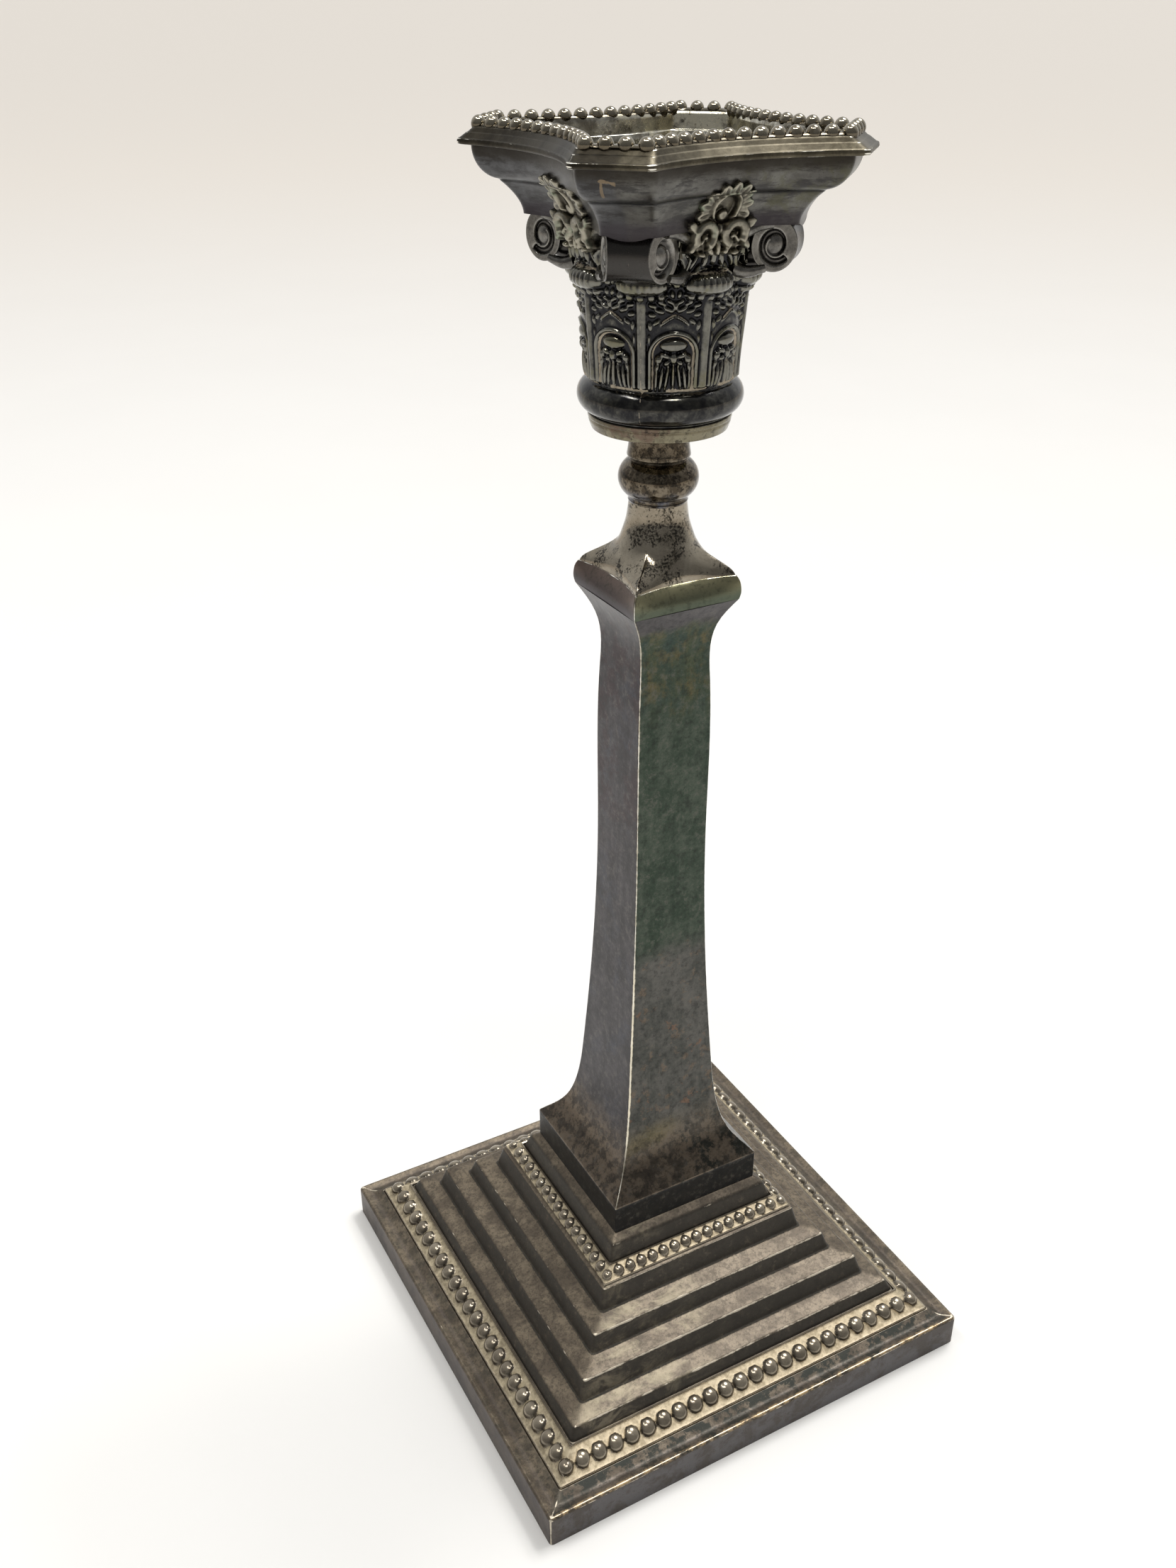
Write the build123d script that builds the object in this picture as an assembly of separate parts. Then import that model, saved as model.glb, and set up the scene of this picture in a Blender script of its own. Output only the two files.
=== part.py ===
from build123d import *
import math
import os

# A loaded column candlestick: stepped square base, tapered square column, knop,
# leaf capital with four corner volutes, and a square lift-off nozzle.
# Millimetres; origin at the middle of the underside, +Z up, sides along X and Y.

# ---- sheet metal and fits
SHEET = 0.8                # gauge of the stamped shells
SEAT_GAP = 0.1             # between the nozzle plate and the abacus it rests on
CORE_GAP = 0.3             # between the loading and the curved column wall
SPAN = 130                 # longer than any section is wide

# ---- stepped base, outside half-widths and heights
BASE_HALF = 57.15
LIP_HEIGHT = 8.7
LIP_BEVEL = 0.5
SHELF_RISE = 0.2
LOW_BAND_OUTER = 51.9
LOW_BAND_INNER = 45.9
LOW_BAND_FOOT = 8.9
LOW_BAND_HEAD = 13.3
STEP_HALVES = (45.6, 40.0, 33.9, 28.3)
STEP_HEIGHTS = (2.9, 5.1, 4.4, 5.5)
TREAD_RISE = 0.9
RISER_LEAN = 1.3
HIGH_BAND_OUTER = 26.4
HIGH_BAND_INNER = 23.0
HIGH_BAND_RISE = 2.4
TOP_STEP_HALF = 22.8
TOP_STEP_HEIGHT = 4.1
BASE_TOP = 42.1
BASE_TOP_HOLE = 15.0
BAND_STRIP = 0.5
LOW_BEADS_PER_SIDE = 24
LOW_BEAD_RADIUS = 1.75
HIGH_BEADS_PER_SIDE = 17
HIGH_BEAD_RADIUS = 1.25

# ---- column
PLINTH_HALF = 19.6
PLINTH_TOP = 50.0
COLUMN_TOP = 193.6
COLUMN_TOP_HALF = 12.1
WAIST_HALF = 8.4

# ---- cap, shoulder and knop
CAP_HALF = 12.35
CAP_CUT = 0.4              # corner cut of the cap's plan
CAP_BOW = 1.1              # hollow of the cap's sides
CAP_TOP = 198.5
SHOULDER_SECTIONS = (      # half-width, corner cut, side hollow and height, turning from square to round
    (10.7, 0.9, 0.5, 200.1),
    (9.4, 1.8, -0.3, 201.6),
)
SHOULDER_ROUND_Z = 203.5
SHOULDER_ROUND_R = 9.0
NECK_Z = 212.6
NECK_R = 5.8
NECK_WAIST = (6.5, 208.8)  # radius and height where the shoulder's sweep turns upright
KNOP_R = 7.88
KNOP_MID_Z = 217.7
KNOP_TOP_Z = 221.4
KNOP_END_R = 6.3
FILLET_STEP = 0.5          # fine step between the knop, its fillets and its collar
COLLAR_WAIST = (5.6, 224.4)
COLLAR_R = 5.4

# ---- capital
FOOT_Z = 227.3
FOOT_R = 13.1
FOOT_TOP_R = 13.7
FOOT_FLARE = 1.6           # height over which the disc widens
BELL_Z = 230.2
TORUS_R = 15.74
TORUS_MID_Z = 233.5
DRUM_Z = 237.2
DRUM_R = 13.9
DRUM_POINTS = ((14.6, 248.0), (15.5, 257.0))
BELL_TOP_R = 17.2
LEAF_Z = 254.6
LEAF_REACH = 17.9
LEAF_RADIUS = 2.9
LEAVES = 8
ABACUS_Z = 264.9
ABACUS_TOP = 276.2
ABACUS_FOOT_HALF = 21.0
ABACUS_CREASE_HALF = 24.7
ABACUS_CREASE_Z = 270.7
ABACUS_TOP_HALF = 28.5
ABACUS_HOLLOW_POWER = 0.55 # shape of the hollow moulding below the crease
ABACUS_WALLS = (1.0, 1.2, 1.1)
CORNER_CUT = 0.32          # corner cut as a share of the half-width
SIDE_BOW = 0.165           # hollow of each side as a share of the half-width
VOLUTE_HALF = 20.0
VOLUTE_CUT = 5.0
VOLUTE_BOW = 3.8
VOLUTE_MID = (21.1, 260.9)
VOLUTE_SIZE = (3.6, 4.4)
VOLUTE_WEB = (8.0, 7.0, 5.5)
FLEURON_SIZE = (6.3, 5.7)
FLEURON_MID_Z = 266.5
FLEURON_FRONT = 20.6
FLEURON_DEPTH = 5.0
FLEURON_TILT = 17

# ---- candle socket, its cup and the nozzle
SOCKET_R = 11.25
SOCKET_WALL = 0.75
SOCKET_FLOOR = 247.4
CUP_R = 12.3
CUP_FLOOR = 239.8
CUP_FLANGE_R = 15.0
NOZZLE_Z = ABACUS_TOP + SEAT_GAP
NOZZLE_TOP = 278.5
NOZZLE_HALF = 30.6
NOZZLE_EDGE = ((0.5, 0.0), (0.0, 0.5), (0.2, 1.1), (2.2, NOZZLE_TOP - NOZZLE_Z))   # inset and rise
PAN_HALVES = (24.6, 21.8, 18.6)
PAN_FLOORS = (275.9, 273.2, 271.4)
RIM_BEAD_HALF = 26.5
RIM_BEAD_CUT = 7.0
RIM_BEAD_BOW = 4.5
RIM_BEAD_R = 1.4
RIM_BEAD_SINK = 0.3
RIM_STRIP_HALF_WIDTH = 1.2
RIM_BEADS_ALONG_SIDE = 13
RIM_BEADS_ON_CORNER = 3

# ---- loading, tie rod and underside
ROD_R = 2.0
ROD_HOLE_R = 2.3
NUT_FLATS = 7.0
NUT_HEIGHT = 3.2
WASHER_R = 5.5
WASHER_HEIGHT = 1.0
BAIZE = 0.9
BOARD_TOP = 6.9
BOARD_RECESS_R = 6.5
BOARD_RECESS_TOP = 5.5
BOARD_GAP = 0.15
POUR_GAP = 0.05            # between the loading and the flat walls it was poured against
NUT_GAP = 0.02             # between the rod and its nuts
ROD_SPARE = 1.5            # rod standing out of the top nut
ROD_FOOT = BAIZE + 0.3
LOADING_TOP = 180.0


# ------------------------------------------------------------ shape helpers
def upright_face(right):
    """Closed outline: the right-hand edges, their mirror image and two level lines."""
    left = [mirror(edge, about=Plane.YZ) for edge in right]
    low = right[0] @ 0
    high = right[-1] @ 1
    foot = Line((-low.X, low.Y), (low.X, low.Y))
    head = Line((-high.X, high.Y), (high.X, high.Y))
    return make_face([*right, *left, foot, head])


def square_hill(right):
    """Square-plan solid: the same upright outline run along X and along Y, and what they share."""
    face = upright_face(right)
    across = extrude(Plane.XZ * face, amount=SPAN, both=True)
    along = extrude(Plane.YZ * face, amount=SPAN, both=True)
    return across & along


def polyline_edges(points):
    """The straight edges through the points, in order."""
    return [Line(a, b) for a, b in zip(points[:-1], points[1:])]


def turned(edges):
    """Solid turned about Z from a closed outline of radius and height."""
    return revolve(Plane.XZ * make_face(edges), axis=Axis.Z)


def tube(inner, outer, low, high):
    """Round tube about Z."""
    ring = Circle(outer) - Circle(inner)
    return extrude(Pos(0, 0, low) * ring, amount=high - low)


def rod_piece(radius, low, high):
    """Round bar on the axis."""
    return Pos(0, 0, (low + high) / 2) * Cylinder(radius, high - low)


def plan_outline(half, cut, bow):
    """Eight edges: four bowed sides and four straight cut corners."""
    reach = half - cut
    edges = []
    for turn in range(4):
        spin = Rot(0, 0, 90 * turn)
        edges.append(spin * ThreePointArc((-reach, -half), (0, bow - half), (reach, -half)))
        edges.append(spin * Line((reach, -half), (half, -reach)))
    return edges


def plan_face(half, cut, bow, height):
    """Level face inside a plan outline."""
    return Pos(0, 0, height) * make_face(plan_outline(half, cut, bow))


def capital_plan(half, height):
    """Level face with the capital's usual corner cut and hollow sides."""
    return plan_face(half, half * CORNER_CUT, half * SIDE_BOW, height)


def round_plan(radius, height):
    """Circle drawn as eight edges, so that it joins the square plans."""
    lean = math.radians(42)
    half = radius * math.cos(lean)
    return plan_face(half, half - radius * math.sin(lean), half - radius, height)


def step_outline(halves, floors, top):
    """Stack of plan prisms going down in steps, from the top to each floor."""
    levels = [top, *floors]
    block = None
    for half, high, low in zip(halves, levels[:-1], levels[1:]):
        prism = extrude(capital_plan(half, low), amount=high - low)
        block = prism if block is None else block + prism
    return block


def drilled(solid, radius):
    """The solid with a round hole on its axis."""
    return solid - Pos(0, 0, COLUMN_TOP) * Cylinder(radius, 3 * COLUMN_TOP)


# ------------------------------------------------------------ base
def base_points(inset=0.0):
    """Half-width and height of the base outline, from the foot up, moved in and down."""
    points = [
        (BASE_HALF, 0),
        (BASE_HALF, LIP_HEIGHT - LIP_BEVEL),
        (BASE_HALF - LIP_BEVEL, LIP_HEIGHT),
        (LOW_BAND_OUTER, LOW_BAND_FOOT),
        (LOW_BAND_INNER, LOW_BAND_HEAD),
    ]
    height = LOW_BAND_HEAD + SHELF_RISE
    for half, rise in zip(STEP_HALVES, STEP_HEIGHTS):
        points += [(half, height), (half - RISER_LEAN, height + rise)]
        height += rise + TREAD_RISE
    height -= TREAD_RISE
    points += [
        (HIGH_BAND_OUTER, height + SHELF_RISE),
        (HIGH_BAND_INNER, height + HIGH_BAND_RISE),
        (TOP_STEP_HALF, height + HIGH_BAND_RISE + SHELF_RISE),
        (TOP_STEP_HALF - RISER_LEAN, height + HIGH_BAND_RISE + TOP_STEP_HEIGHT),
        (PLINTH_HALF, BASE_TOP),
    ]
    return [(half - inset, high - inset if high else 0) for half, high in points]


def base_hill(inset=0.0):
    """The base as a solid hill, moved in by the inset."""
    return square_hill(polyline_edges(base_points(inset)))


def base_shell():
    """Stamped stepped shell, open underneath, with a square opening under the column."""
    opening = Box(2 * BASE_TOP_HOLE, 2 * BASE_TOP_HOLE, 2 * BASE_TOP + SPAN)
    return base_hill() - base_hill(SHEET) - opening


def bead_band(outer, inner, per_side, radius):
    """Sloped square strip with a row of domes, lying in its channel on the base."""
    rows = {half: high for half, high in base_points()}
    foot, head = rows[outer], rows[inner]
    edges = polyline_edges([(outer, foot), (outer, foot + BAND_STRIP), (inner, head + BAND_STRIP)])
    block = Box(2 * inner, 2 * inner, SPAN)
    strip = square_hill(edges) - block
    half = (outer + inner) / 2
    height = (foot + head) / 2 + BAND_STRIP / 2
    pitch = 2 * half / (per_side - 1)
    domes = []
    for turn in range(4):
        for step in range(per_side - 1):
            place = Rot(0, 0, 90 * turn) * Pos(step * pitch - half, -half, height)
            domes.append(place * Sphere(radius))
    return strip + domes - base_hill()


# ------------------------------------------------------------ column
def column_edges(inset=0.0):
    """Right-hand outline of the plinth and the flared, tapered shaft."""
    taper = (
        (PLINTH_HALF, PLINTH_TOP),
        (15.3, 55.0),
        (12.7, 62.5),
        (11.3, 75.0),
        (9.6, 104.0),
        (8.7, 140.0),
        (WAIST_HALF, 176.0),
        (9.2, 188.0),
        (COLUMN_TOP_HALF, COLUMN_TOP),
    )
    shaft = Spline([(half - inset, high) for half, high in taper])
    plinth = Line((PLINTH_HALF - inset, BASE_TOP), (PLINTH_HALF - inset, PLINTH_TOP))
    return [plinth, shaft]


def corner_half(left):
    """Large block on one side of the upright plane through the front and back corners."""
    side = -1 if left else 1
    return Rot(0, 0, 45) * Pos(0, -side * SPAN, 0) * Box(4 * SPAN, 2 * SPAN, 8 * SPAN)


def column_half(left):
    """One of the two bent halves of the shaft, soldered up the front and back corners."""
    shell = square_hill(column_edges()) - square_hill(column_edges(SHEET))
    return shell & corner_half(left)


def shoulder_stack(inset=0.0):
    """Cap band with hollow sides that sweeps up from square to round."""
    sections = [
        (CAP_HALF, CAP_CUT, CAP_BOW, COLUMN_TOP),
        (CAP_HALF, CAP_CUT, CAP_BOW, CAP_TOP),
        *SHOULDER_SECTIONS,
    ]
    plans = [plan_face(half - inset, cut, bow, height - inset) for half, cut, bow, height in sections]
    plans.append(round_plan(SHOULDER_ROUND_R - inset, SHOULDER_ROUND_Z - inset))
    return loft(plans, ruled=True)


def neck():
    """Turned neck above the shoulder, narrowing to the knop."""
    foot = (SHOULDER_ROUND_R, SHOULDER_ROUND_Z)
    head = (NECK_R, NECK_Z)
    sweep = Spline([foot, NECK_WAIST, head], tangents=[(-1, 1), (-0.1, 1)])
    axis_line = polyline_edges([head, (0, NECK_Z), (0, SHOULDER_ROUND_Z), foot])
    return turned([sweep, *axis_line])


def column_cap():
    """Hollow square cap with its bell-shaped shoulder."""
    bore = Pos(0, 0, NECK_Z) * Cylinder(ROD_HOLE_R + SHEET, 4 * SHOULDER_ROUND_R)
    return shoulder_stack() + neck() - shoulder_stack(SHEET) - bore


def knop():
    """Turned knop with a collar above it, bored for the tie rod."""
    ball_foot = (KNOP_END_R - FILLET_STEP, NECK_Z + FILLET_STEP)
    ball_head = (KNOP_END_R, KNOP_TOP_Z)
    collar_foot = (KNOP_END_R + FILLET_STEP / 2, KNOP_TOP_Z + FILLET_STEP)
    collar_head = (COLLAR_R, FOOT_Z)
    underside = polyline_edges([(ROD_HOLE_R, NECK_Z), (NECK_R, NECK_Z), ball_foot])
    bore = polyline_edges([collar_head, (ROD_HOLE_R, FOOT_Z), (ROD_HOLE_R, NECK_Z)])
    outline = [
        *underside,
        ThreePointArc(ball_foot, (KNOP_R, KNOP_MID_Z), ball_head),
        Line(ball_head, collar_foot),
        ThreePointArc(collar_foot, COLLAR_WAIST, collar_head),
        *bore,
    ]
    return turned(outline)


# ------------------------------------------------------------ capital
def capital_foot():
    """Turned disc that carries the capital."""
    outline = polyline_edges([
        (ROD_HOLE_R, FOOT_Z), (FOOT_R, FOOT_Z), (FOOT_TOP_R, FOOT_Z + FOOT_FLARE),
        (FOOT_TOP_R, BELL_Z), (ROD_HOLE_R, BELL_Z), (ROD_HOLE_R, FOOT_Z),
    ])
    return turned(outline)


def bell_hill(inset=0.0):
    """Torus, drum and flaring bell of the capital as one turned solid."""
    torus = Spline(
        [(FOOT_TOP_R - inset, BELL_Z), (TORUS_R - inset, TORUS_MID_Z), (DRUM_R - inset, DRUM_Z)],
        tangents=[(1, 0.35), (-1, 0.45)],
    )
    drum_points = [(DRUM_R, DRUM_Z), *DRUM_POINTS, (BELL_TOP_R, ABACUS_Z)]
    drum = Spline([(radius - inset, height) for radius, height in drum_points])
    closing = polyline_edges([
        (BELL_TOP_R - inset, ABACUS_Z), (0, ABACUS_Z), (0, BELL_Z), (FOOT_TOP_R - inset, BELL_Z),
    ])
    return turned([torus, drum, *closing])


def leaf_tips():
    """The eight curled leaf tips as balls."""
    tips = []
    for leaf in range(LEAVES):
        spin = Rot(0, 0, 360 / LEAVES * leaf)
        tips.append(spin * Pos(LEAF_REACH - LEAF_RADIUS, 0, LEAF_Z) * Sphere(LEAF_RADIUS))
    return tips


def capital_half(left):
    """One stamped half of the bell with its ring of curled leaf tips."""
    return (bell_hill() + leaf_tips() - bell_hill(SHEET)) & corner_half(left)


def corner_volute(turn):
    """Cast corner scroll: a short roll across the corner with a web back to the bell."""
    reach, height = VOLUTE_MID
    length, width, depth = VOLUTE_WEB
    roll = extrude(Plane.XZ * (Pos(reach, height) * Ellipse(*VOLUTE_SIZE)), amount=VOLUTE_HALF, both=True)
    web = Pos(reach - length / 2, 0, ABACUS_Z - depth / 2) * Box(length, width, depth)
    low = height - 2 * depth
    room = extrude(plan_face(VOLUTE_HALF, VOLUTE_CUT, VOLUTE_BOW, low), amount=ABACUS_Z - low)
    quarter = Pos(SPAN / 2, SPAN / 2, height) * Box(SPAN, SPAN, SPAN)
    scroll = Rot(0, 0, 45) * (roll + web) & room & quarter
    return Rot(0, 0, 90 * turn) * (scroll - bell_hill() - leaf_tips())


def abacus_hill():
    """Two-part moulding of the abacus: a hollow below the crease and a round above it."""
    span = ABACUS_CREASE_HALF - ABACUS_FOOT_HALF
    plans = []
    for share in (0.0, 0.04, 0.13, 0.32, 0.6, 1.0):
        rise = (ABACUS_CREASE_Z - ABACUS_Z) * share ** ABACUS_HOLLOW_POWER
        plans.append(capital_plan(ABACUS_FOOT_HALF + span * share, ABACUS_Z + rise))
    swell = ABACUS_TOP_HALF - ABACUS_CREASE_HALF
    for degrees in (22, 45, 68, 90):
        turn = math.radians(degrees)
        half = ABACUS_CREASE_HALF + swell * math.sin(turn)
        rise = (ABACUS_TOP - ABACUS_CREASE_Z) * (1 - math.cos(turn))
        plans.append(capital_plan(half, ABACUS_CREASE_Z + rise))
    return loft(plans, ruled=True)


def abacus():
    """Hollow square moulding with a floor that the candle cup hangs in."""
    foot_wall, crease_wall, top_wall = ABACUS_WALLS
    hollow = loft([
        capital_plan(ABACUS_FOOT_HALF - foot_wall, ABACUS_Z + SHEET),
        capital_plan(ABACUS_CREASE_HALF - crease_wall, ABACUS_CREASE_Z),
        capital_plan(ABACUS_TOP_HALF - top_wall, ABACUS_TOP),
    ], ruled=True)
    hole = Pos(0, 0, ABACUS_Z) * Cylinder(CUP_R + SHEET + SEAT_GAP, 4 * SHEET)
    return abacus_hill() - hollow - hole


def fleuron(turn):
    """Cast flower in the middle of a side, leaning out under the abacus."""
    disc = extrude(Plane.XZ * Ellipse(*FLEURON_SIZE), amount=FLEURON_DEPTH)
    leaned = Rot(FLEURON_TILT, 0, 0) * disc
    placed = Pos(0, FLEURON_DEPTH - FLEURON_FRONT, FLEURON_MID_Z) * leaned
    cut = placed - abacus_hill() - bell_hill() - leaf_tips()
    return Rot(0, 0, 90 * turn) * cut.solids().sort_by(SortBy.VOLUME)[-1]


def socket_cup():
    """Plain cup inside the capital that the nozzle's socket drops into."""
    wall = tube(CUP_R, CUP_R + SHEET, CUP_FLOOR - SHEET, ABACUS_Z + 2 * SHEET)
    flange = tube(CUP_R, CUP_FLANGE_R, ABACUS_Z + SHEET, ABACUS_Z + 2 * SHEET)
    floor = Pos(0, 0, CUP_FLOOR - SHEET / 2) * Cylinder(CUP_R, SHEET)
    return wall + flange + floor


# ------------------------------------------------------------ nozzle
def nozzle_plate():
    """Stamped square plate with a stepped pan and a hole for the socket."""
    sections = [capital_plan(NOZZLE_HALF - inset, NOZZLE_Z + rise) for inset, rise in NOZZLE_EDGE]
    edge = loft(sections, ruled=True)
    below = step_outline(
        [half + SHEET for half in PAN_HALVES],
        [floor - SHEET for floor in PAN_FLOORS],
        NOZZLE_Z + SHEET,
    )
    pan = step_outline(PAN_HALVES, PAN_FLOORS, NOZZLE_TOP + SHEET)
    hole = Pos(0, 0, PAN_FLOORS[-1]) * Cylinder(SOCKET_R + SOCKET_WALL + POUR_GAP, 8 * SHEET)
    return edge + below - pan - hole


def nozzle_bead_border():
    """Wire strip with round beads, applied round the plate's top."""
    rims = []
    for side in (1, -1):
        width = side * RIM_STRIP_HALF_WIDTH
        rims.append(make_face(plan_outline(RIM_BEAD_HALF + width, RIM_BEAD_CUT + width / 4, RIM_BEAD_BOW)))
    border = extrude(Pos(0, 0, NOZZLE_TOP) * (rims[0] - rims[1]), amount=BAND_STRIP)
    centre_z = NOZZLE_TOP + RIM_BEAD_R - RIM_BEAD_SINK
    beads = []
    for number, edge in enumerate(plan_outline(RIM_BEAD_HALF, RIM_BEAD_CUT, RIM_BEAD_BOW)):
        count = RIM_BEADS_ON_CORNER if number % 2 else RIM_BEADS_ALONG_SIDE
        for step in range(count):
            spot = edge @ (step / count)
            beads.append(Pos(spot.X, spot.Y, centre_z) * Sphere(RIM_BEAD_R))
    below = Pos(0, 0, NOZZLE_TOP - SPAN / 2) * Box(SPAN, SPAN, SPAN)
    return border + beads - below


def nozzle_socket():
    """Tube that holds the candle, closed at the bottom."""
    outside = rod_piece(SOCKET_R + SOCKET_WALL, SOCKET_FLOOR - SHEET, PAN_FLOORS[-1])
    return outside - rod_piece(SOCKET_R, SOCKET_FLOOR, NOZZLE_TOP)


# ------------------------------------------------------------ loading, rod and underside
def washer(low):
    """Flat washer on the tie rod."""
    return tube(ROD_HOLE_R, WASHER_R, low, low + WASHER_HEIGHT)


def nut(low):
    """Hexagon nut on the tie rod."""
    hexagon = RegularPolygon(NUT_FLATS / 2, 6, major_radius=False)
    return extrude(Pos(0, 0, low) * (hexagon - Circle(ROD_R + NUT_GAP)), amount=NUT_HEIGHT)


def pitch_loading():
    """Poured filling of the base and the lower column, cast round the tie rod."""
    above_board = Pos(0, 0, BOARD_TOP + POUR_GAP + SPAN / 2) * Box(SPAN, SPAN, SPAN)
    base_core = base_hill(SHEET + POUR_GAP) & above_board
    neck_width = 2 * (BASE_TOP_HOLE - POUR_GAP)
    throat = Pos(0, 0, BASE_TOP) * Box(neck_width, neck_width, 4 * SHEET)
    column_core = square_hill(column_edges(SHEET + CORE_GAP))
    column_core &= Pos(0, 0, LOADING_TOP - SPAN) * Box(SPAN, SPAN, 2 * SPAN)
    column_core -= Pos(0, 0, BASE_TOP) * Box(SPAN, SPAN, 2 * POUR_GAP)
    return drilled(base_core + throat + column_core, ROD_R + POUR_GAP)


def base_board():
    """Square wooden board that closes the base, recessed for the bottom nut."""
    half = BASE_HALF - SHEET - BOARD_GAP
    board = Pos(0, 0, (BAIZE + BOARD_TOP) / 2) * Box(2 * half, 2 * half, BOARD_TOP - BAIZE)
    return drilled(board - rod_piece(BOARD_RECESS_R, 0, BOARD_RECESS_TOP), ROD_HOLE_R)


def baize_pad():
    """Cloth pad glued over the board, level with the edge of the base."""
    half = BASE_HALF - SHEET - BOARD_GAP
    return Pos(0, 0, BAIZE / 2) * Box(2 * half, 2 * half, BAIZE)


PARTS = {
    "base_shell": base_shell(),
    "lower_bead_band": bead_band(LOW_BAND_OUTER, LOW_BAND_INNER, LOW_BEADS_PER_SIDE, LOW_BEAD_RADIUS),
    "upper_bead_band": bead_band(HIGH_BAND_OUTER, HIGH_BAND_INNER, HIGH_BEADS_PER_SIDE, HIGH_BEAD_RADIUS),
    "column_left_half": column_half(True),
    "column_right_half": column_half(False),
    "column_cap": column_cap(),
    "knop": knop(),
    "capital_foot": capital_foot(),
    "capital_left_half": capital_half(True),
    "capital_right_half": capital_half(False),
    "abacus": abacus(),
    "socket_cup": socket_cup(),
    "nozzle_plate": nozzle_plate(),
    "nozzle_bead_border": nozzle_bead_border(),
    "nozzle_socket": nozzle_socket(),
    "tie_rod": rod_piece(ROD_R, ROD_FOOT, BELL_Z + WASHER_HEIGHT + NUT_HEIGHT + ROD_SPARE),
    "top_washer": washer(BELL_Z),
    "top_nut": nut(BELL_Z + WASHER_HEIGHT),
    "bottom_washer": washer(BOARD_RECESS_TOP - WASHER_HEIGHT),
    "bottom_nut": nut(BOARD_RECESS_TOP - WASHER_HEIGHT - NUT_HEIGHT),
    "pitch_loading": pitch_loading(),
    "base_board": base_board(),
    "baize_pad": baize_pad(),
}
CORNERS = ("back", "left", "front", "right")
SIDES = ("front_right", "back_right", "back_left", "front_left")
for turn in range(4):
    PARTS[f"volute_{CORNERS[turn]}"] = corner_volute(turn)
    PARTS[f"fleuron_{SIDES[turn]}"] = fleuron(turn)

os.makedirs("parts", exist_ok=True)
for name, solid in PARTS.items():
    export_step(solid, f"parts/{name}.step")
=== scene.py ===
import math
import bpy
import numpy as np
from mathutils import Matrix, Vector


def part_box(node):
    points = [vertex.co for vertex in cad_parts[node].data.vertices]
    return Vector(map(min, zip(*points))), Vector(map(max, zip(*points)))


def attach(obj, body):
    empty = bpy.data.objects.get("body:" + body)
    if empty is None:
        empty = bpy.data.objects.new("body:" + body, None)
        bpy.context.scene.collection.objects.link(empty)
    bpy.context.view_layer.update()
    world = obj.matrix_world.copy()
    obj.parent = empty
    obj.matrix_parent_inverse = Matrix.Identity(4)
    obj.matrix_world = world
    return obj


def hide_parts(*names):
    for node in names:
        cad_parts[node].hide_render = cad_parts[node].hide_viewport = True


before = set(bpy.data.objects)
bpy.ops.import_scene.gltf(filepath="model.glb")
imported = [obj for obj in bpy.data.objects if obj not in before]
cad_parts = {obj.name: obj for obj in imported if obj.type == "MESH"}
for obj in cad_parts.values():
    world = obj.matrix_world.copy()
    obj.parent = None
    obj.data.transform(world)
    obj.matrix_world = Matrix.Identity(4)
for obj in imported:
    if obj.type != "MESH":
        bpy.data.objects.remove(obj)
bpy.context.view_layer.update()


# ---------------------------------------------------------------- stepped base
# One sheet of silver plate stamped into a square hill of steps, open underneath. Its arrises are rubbed
# bright, and more so on the sides that face -Y, which is partly a painted highlight. Its treads are brown,
# the upright faces near black, partly tarnish and partly a painted dark reflection of the room, and the
# inside corners darker.

MM = 0.001
SHEET = 0.8
base_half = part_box("base_shell")[1].x / MM
base_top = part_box("base_shell")[1].z / MM
low_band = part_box("lower_bead_band")
high_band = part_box("upper_bead_band")
LOW_OUTER = low_band[1].x / MM
LOW_INNER = LOW_OUTER - 6.0
LOW_FOOT = low_band[0].z / MM
LOW_HEAD = LOW_FOOT + 4.4
HIGH_OUTER = high_band[1].x / MM
HIGH_INNER = HIGH_OUTER - 3.4
HIGH_FOOT = high_band[0].z / MM
HIGH_HEAD = HIGH_FOOT + 2.2
STRIP = 0.5
STEP_HALVES = (45.6, 40.0, 33.9, 28.3)
STEP_HEIGHTS = (2.9, 5.1, 4.4, 5.5)
TREAD_RISE = 0.9
RISER_LEAN = 1.3
LIP_TOP = 8.2
PLINTH_HALF = 19.6


def base_outline(inset=0.0):
    """Half-width and height of the base from its foot up, moved in and down by the inset."""
    points = [
        (base_half, 0.0),
        (base_half, LIP_TOP),
        (base_half - 0.5, LIP_TOP + 0.5),
        (LOW_OUTER + 2.6, LIP_TOP - 0.05),
        (LOW_OUTER + 0.15, LOW_FOOT + STRIP),
        (LOW_OUTER, LOW_FOOT),
        (LOW_INNER, LOW_HEAD),
        (LOW_INNER - 0.1, LOW_HEAD + 0.2),
    ]
    height = LOW_HEAD + 0.2
    for half, rise in zip(STEP_HALVES, STEP_HEIGHTS):
        points += [(half, height), (half - RISER_LEAN, height + rise)]
        height += rise + TREAD_RISE
    points += [
        (HIGH_OUTER, HIGH_FOOT),
        (HIGH_INNER, HIGH_HEAD),
        (HIGH_INNER - 0.2, HIGH_HEAD + 0.2),
        (HIGH_INNER - 0.2 - RISER_LEAN, HIGH_HEAD + 4.1),
        (PLINTH_HALF - 0.3, base_top),
        (15.4, base_top),
    ]
    return [(half - inset, max(high - inset, 0.0) if high else 0.0) for half, high in points]


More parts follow.
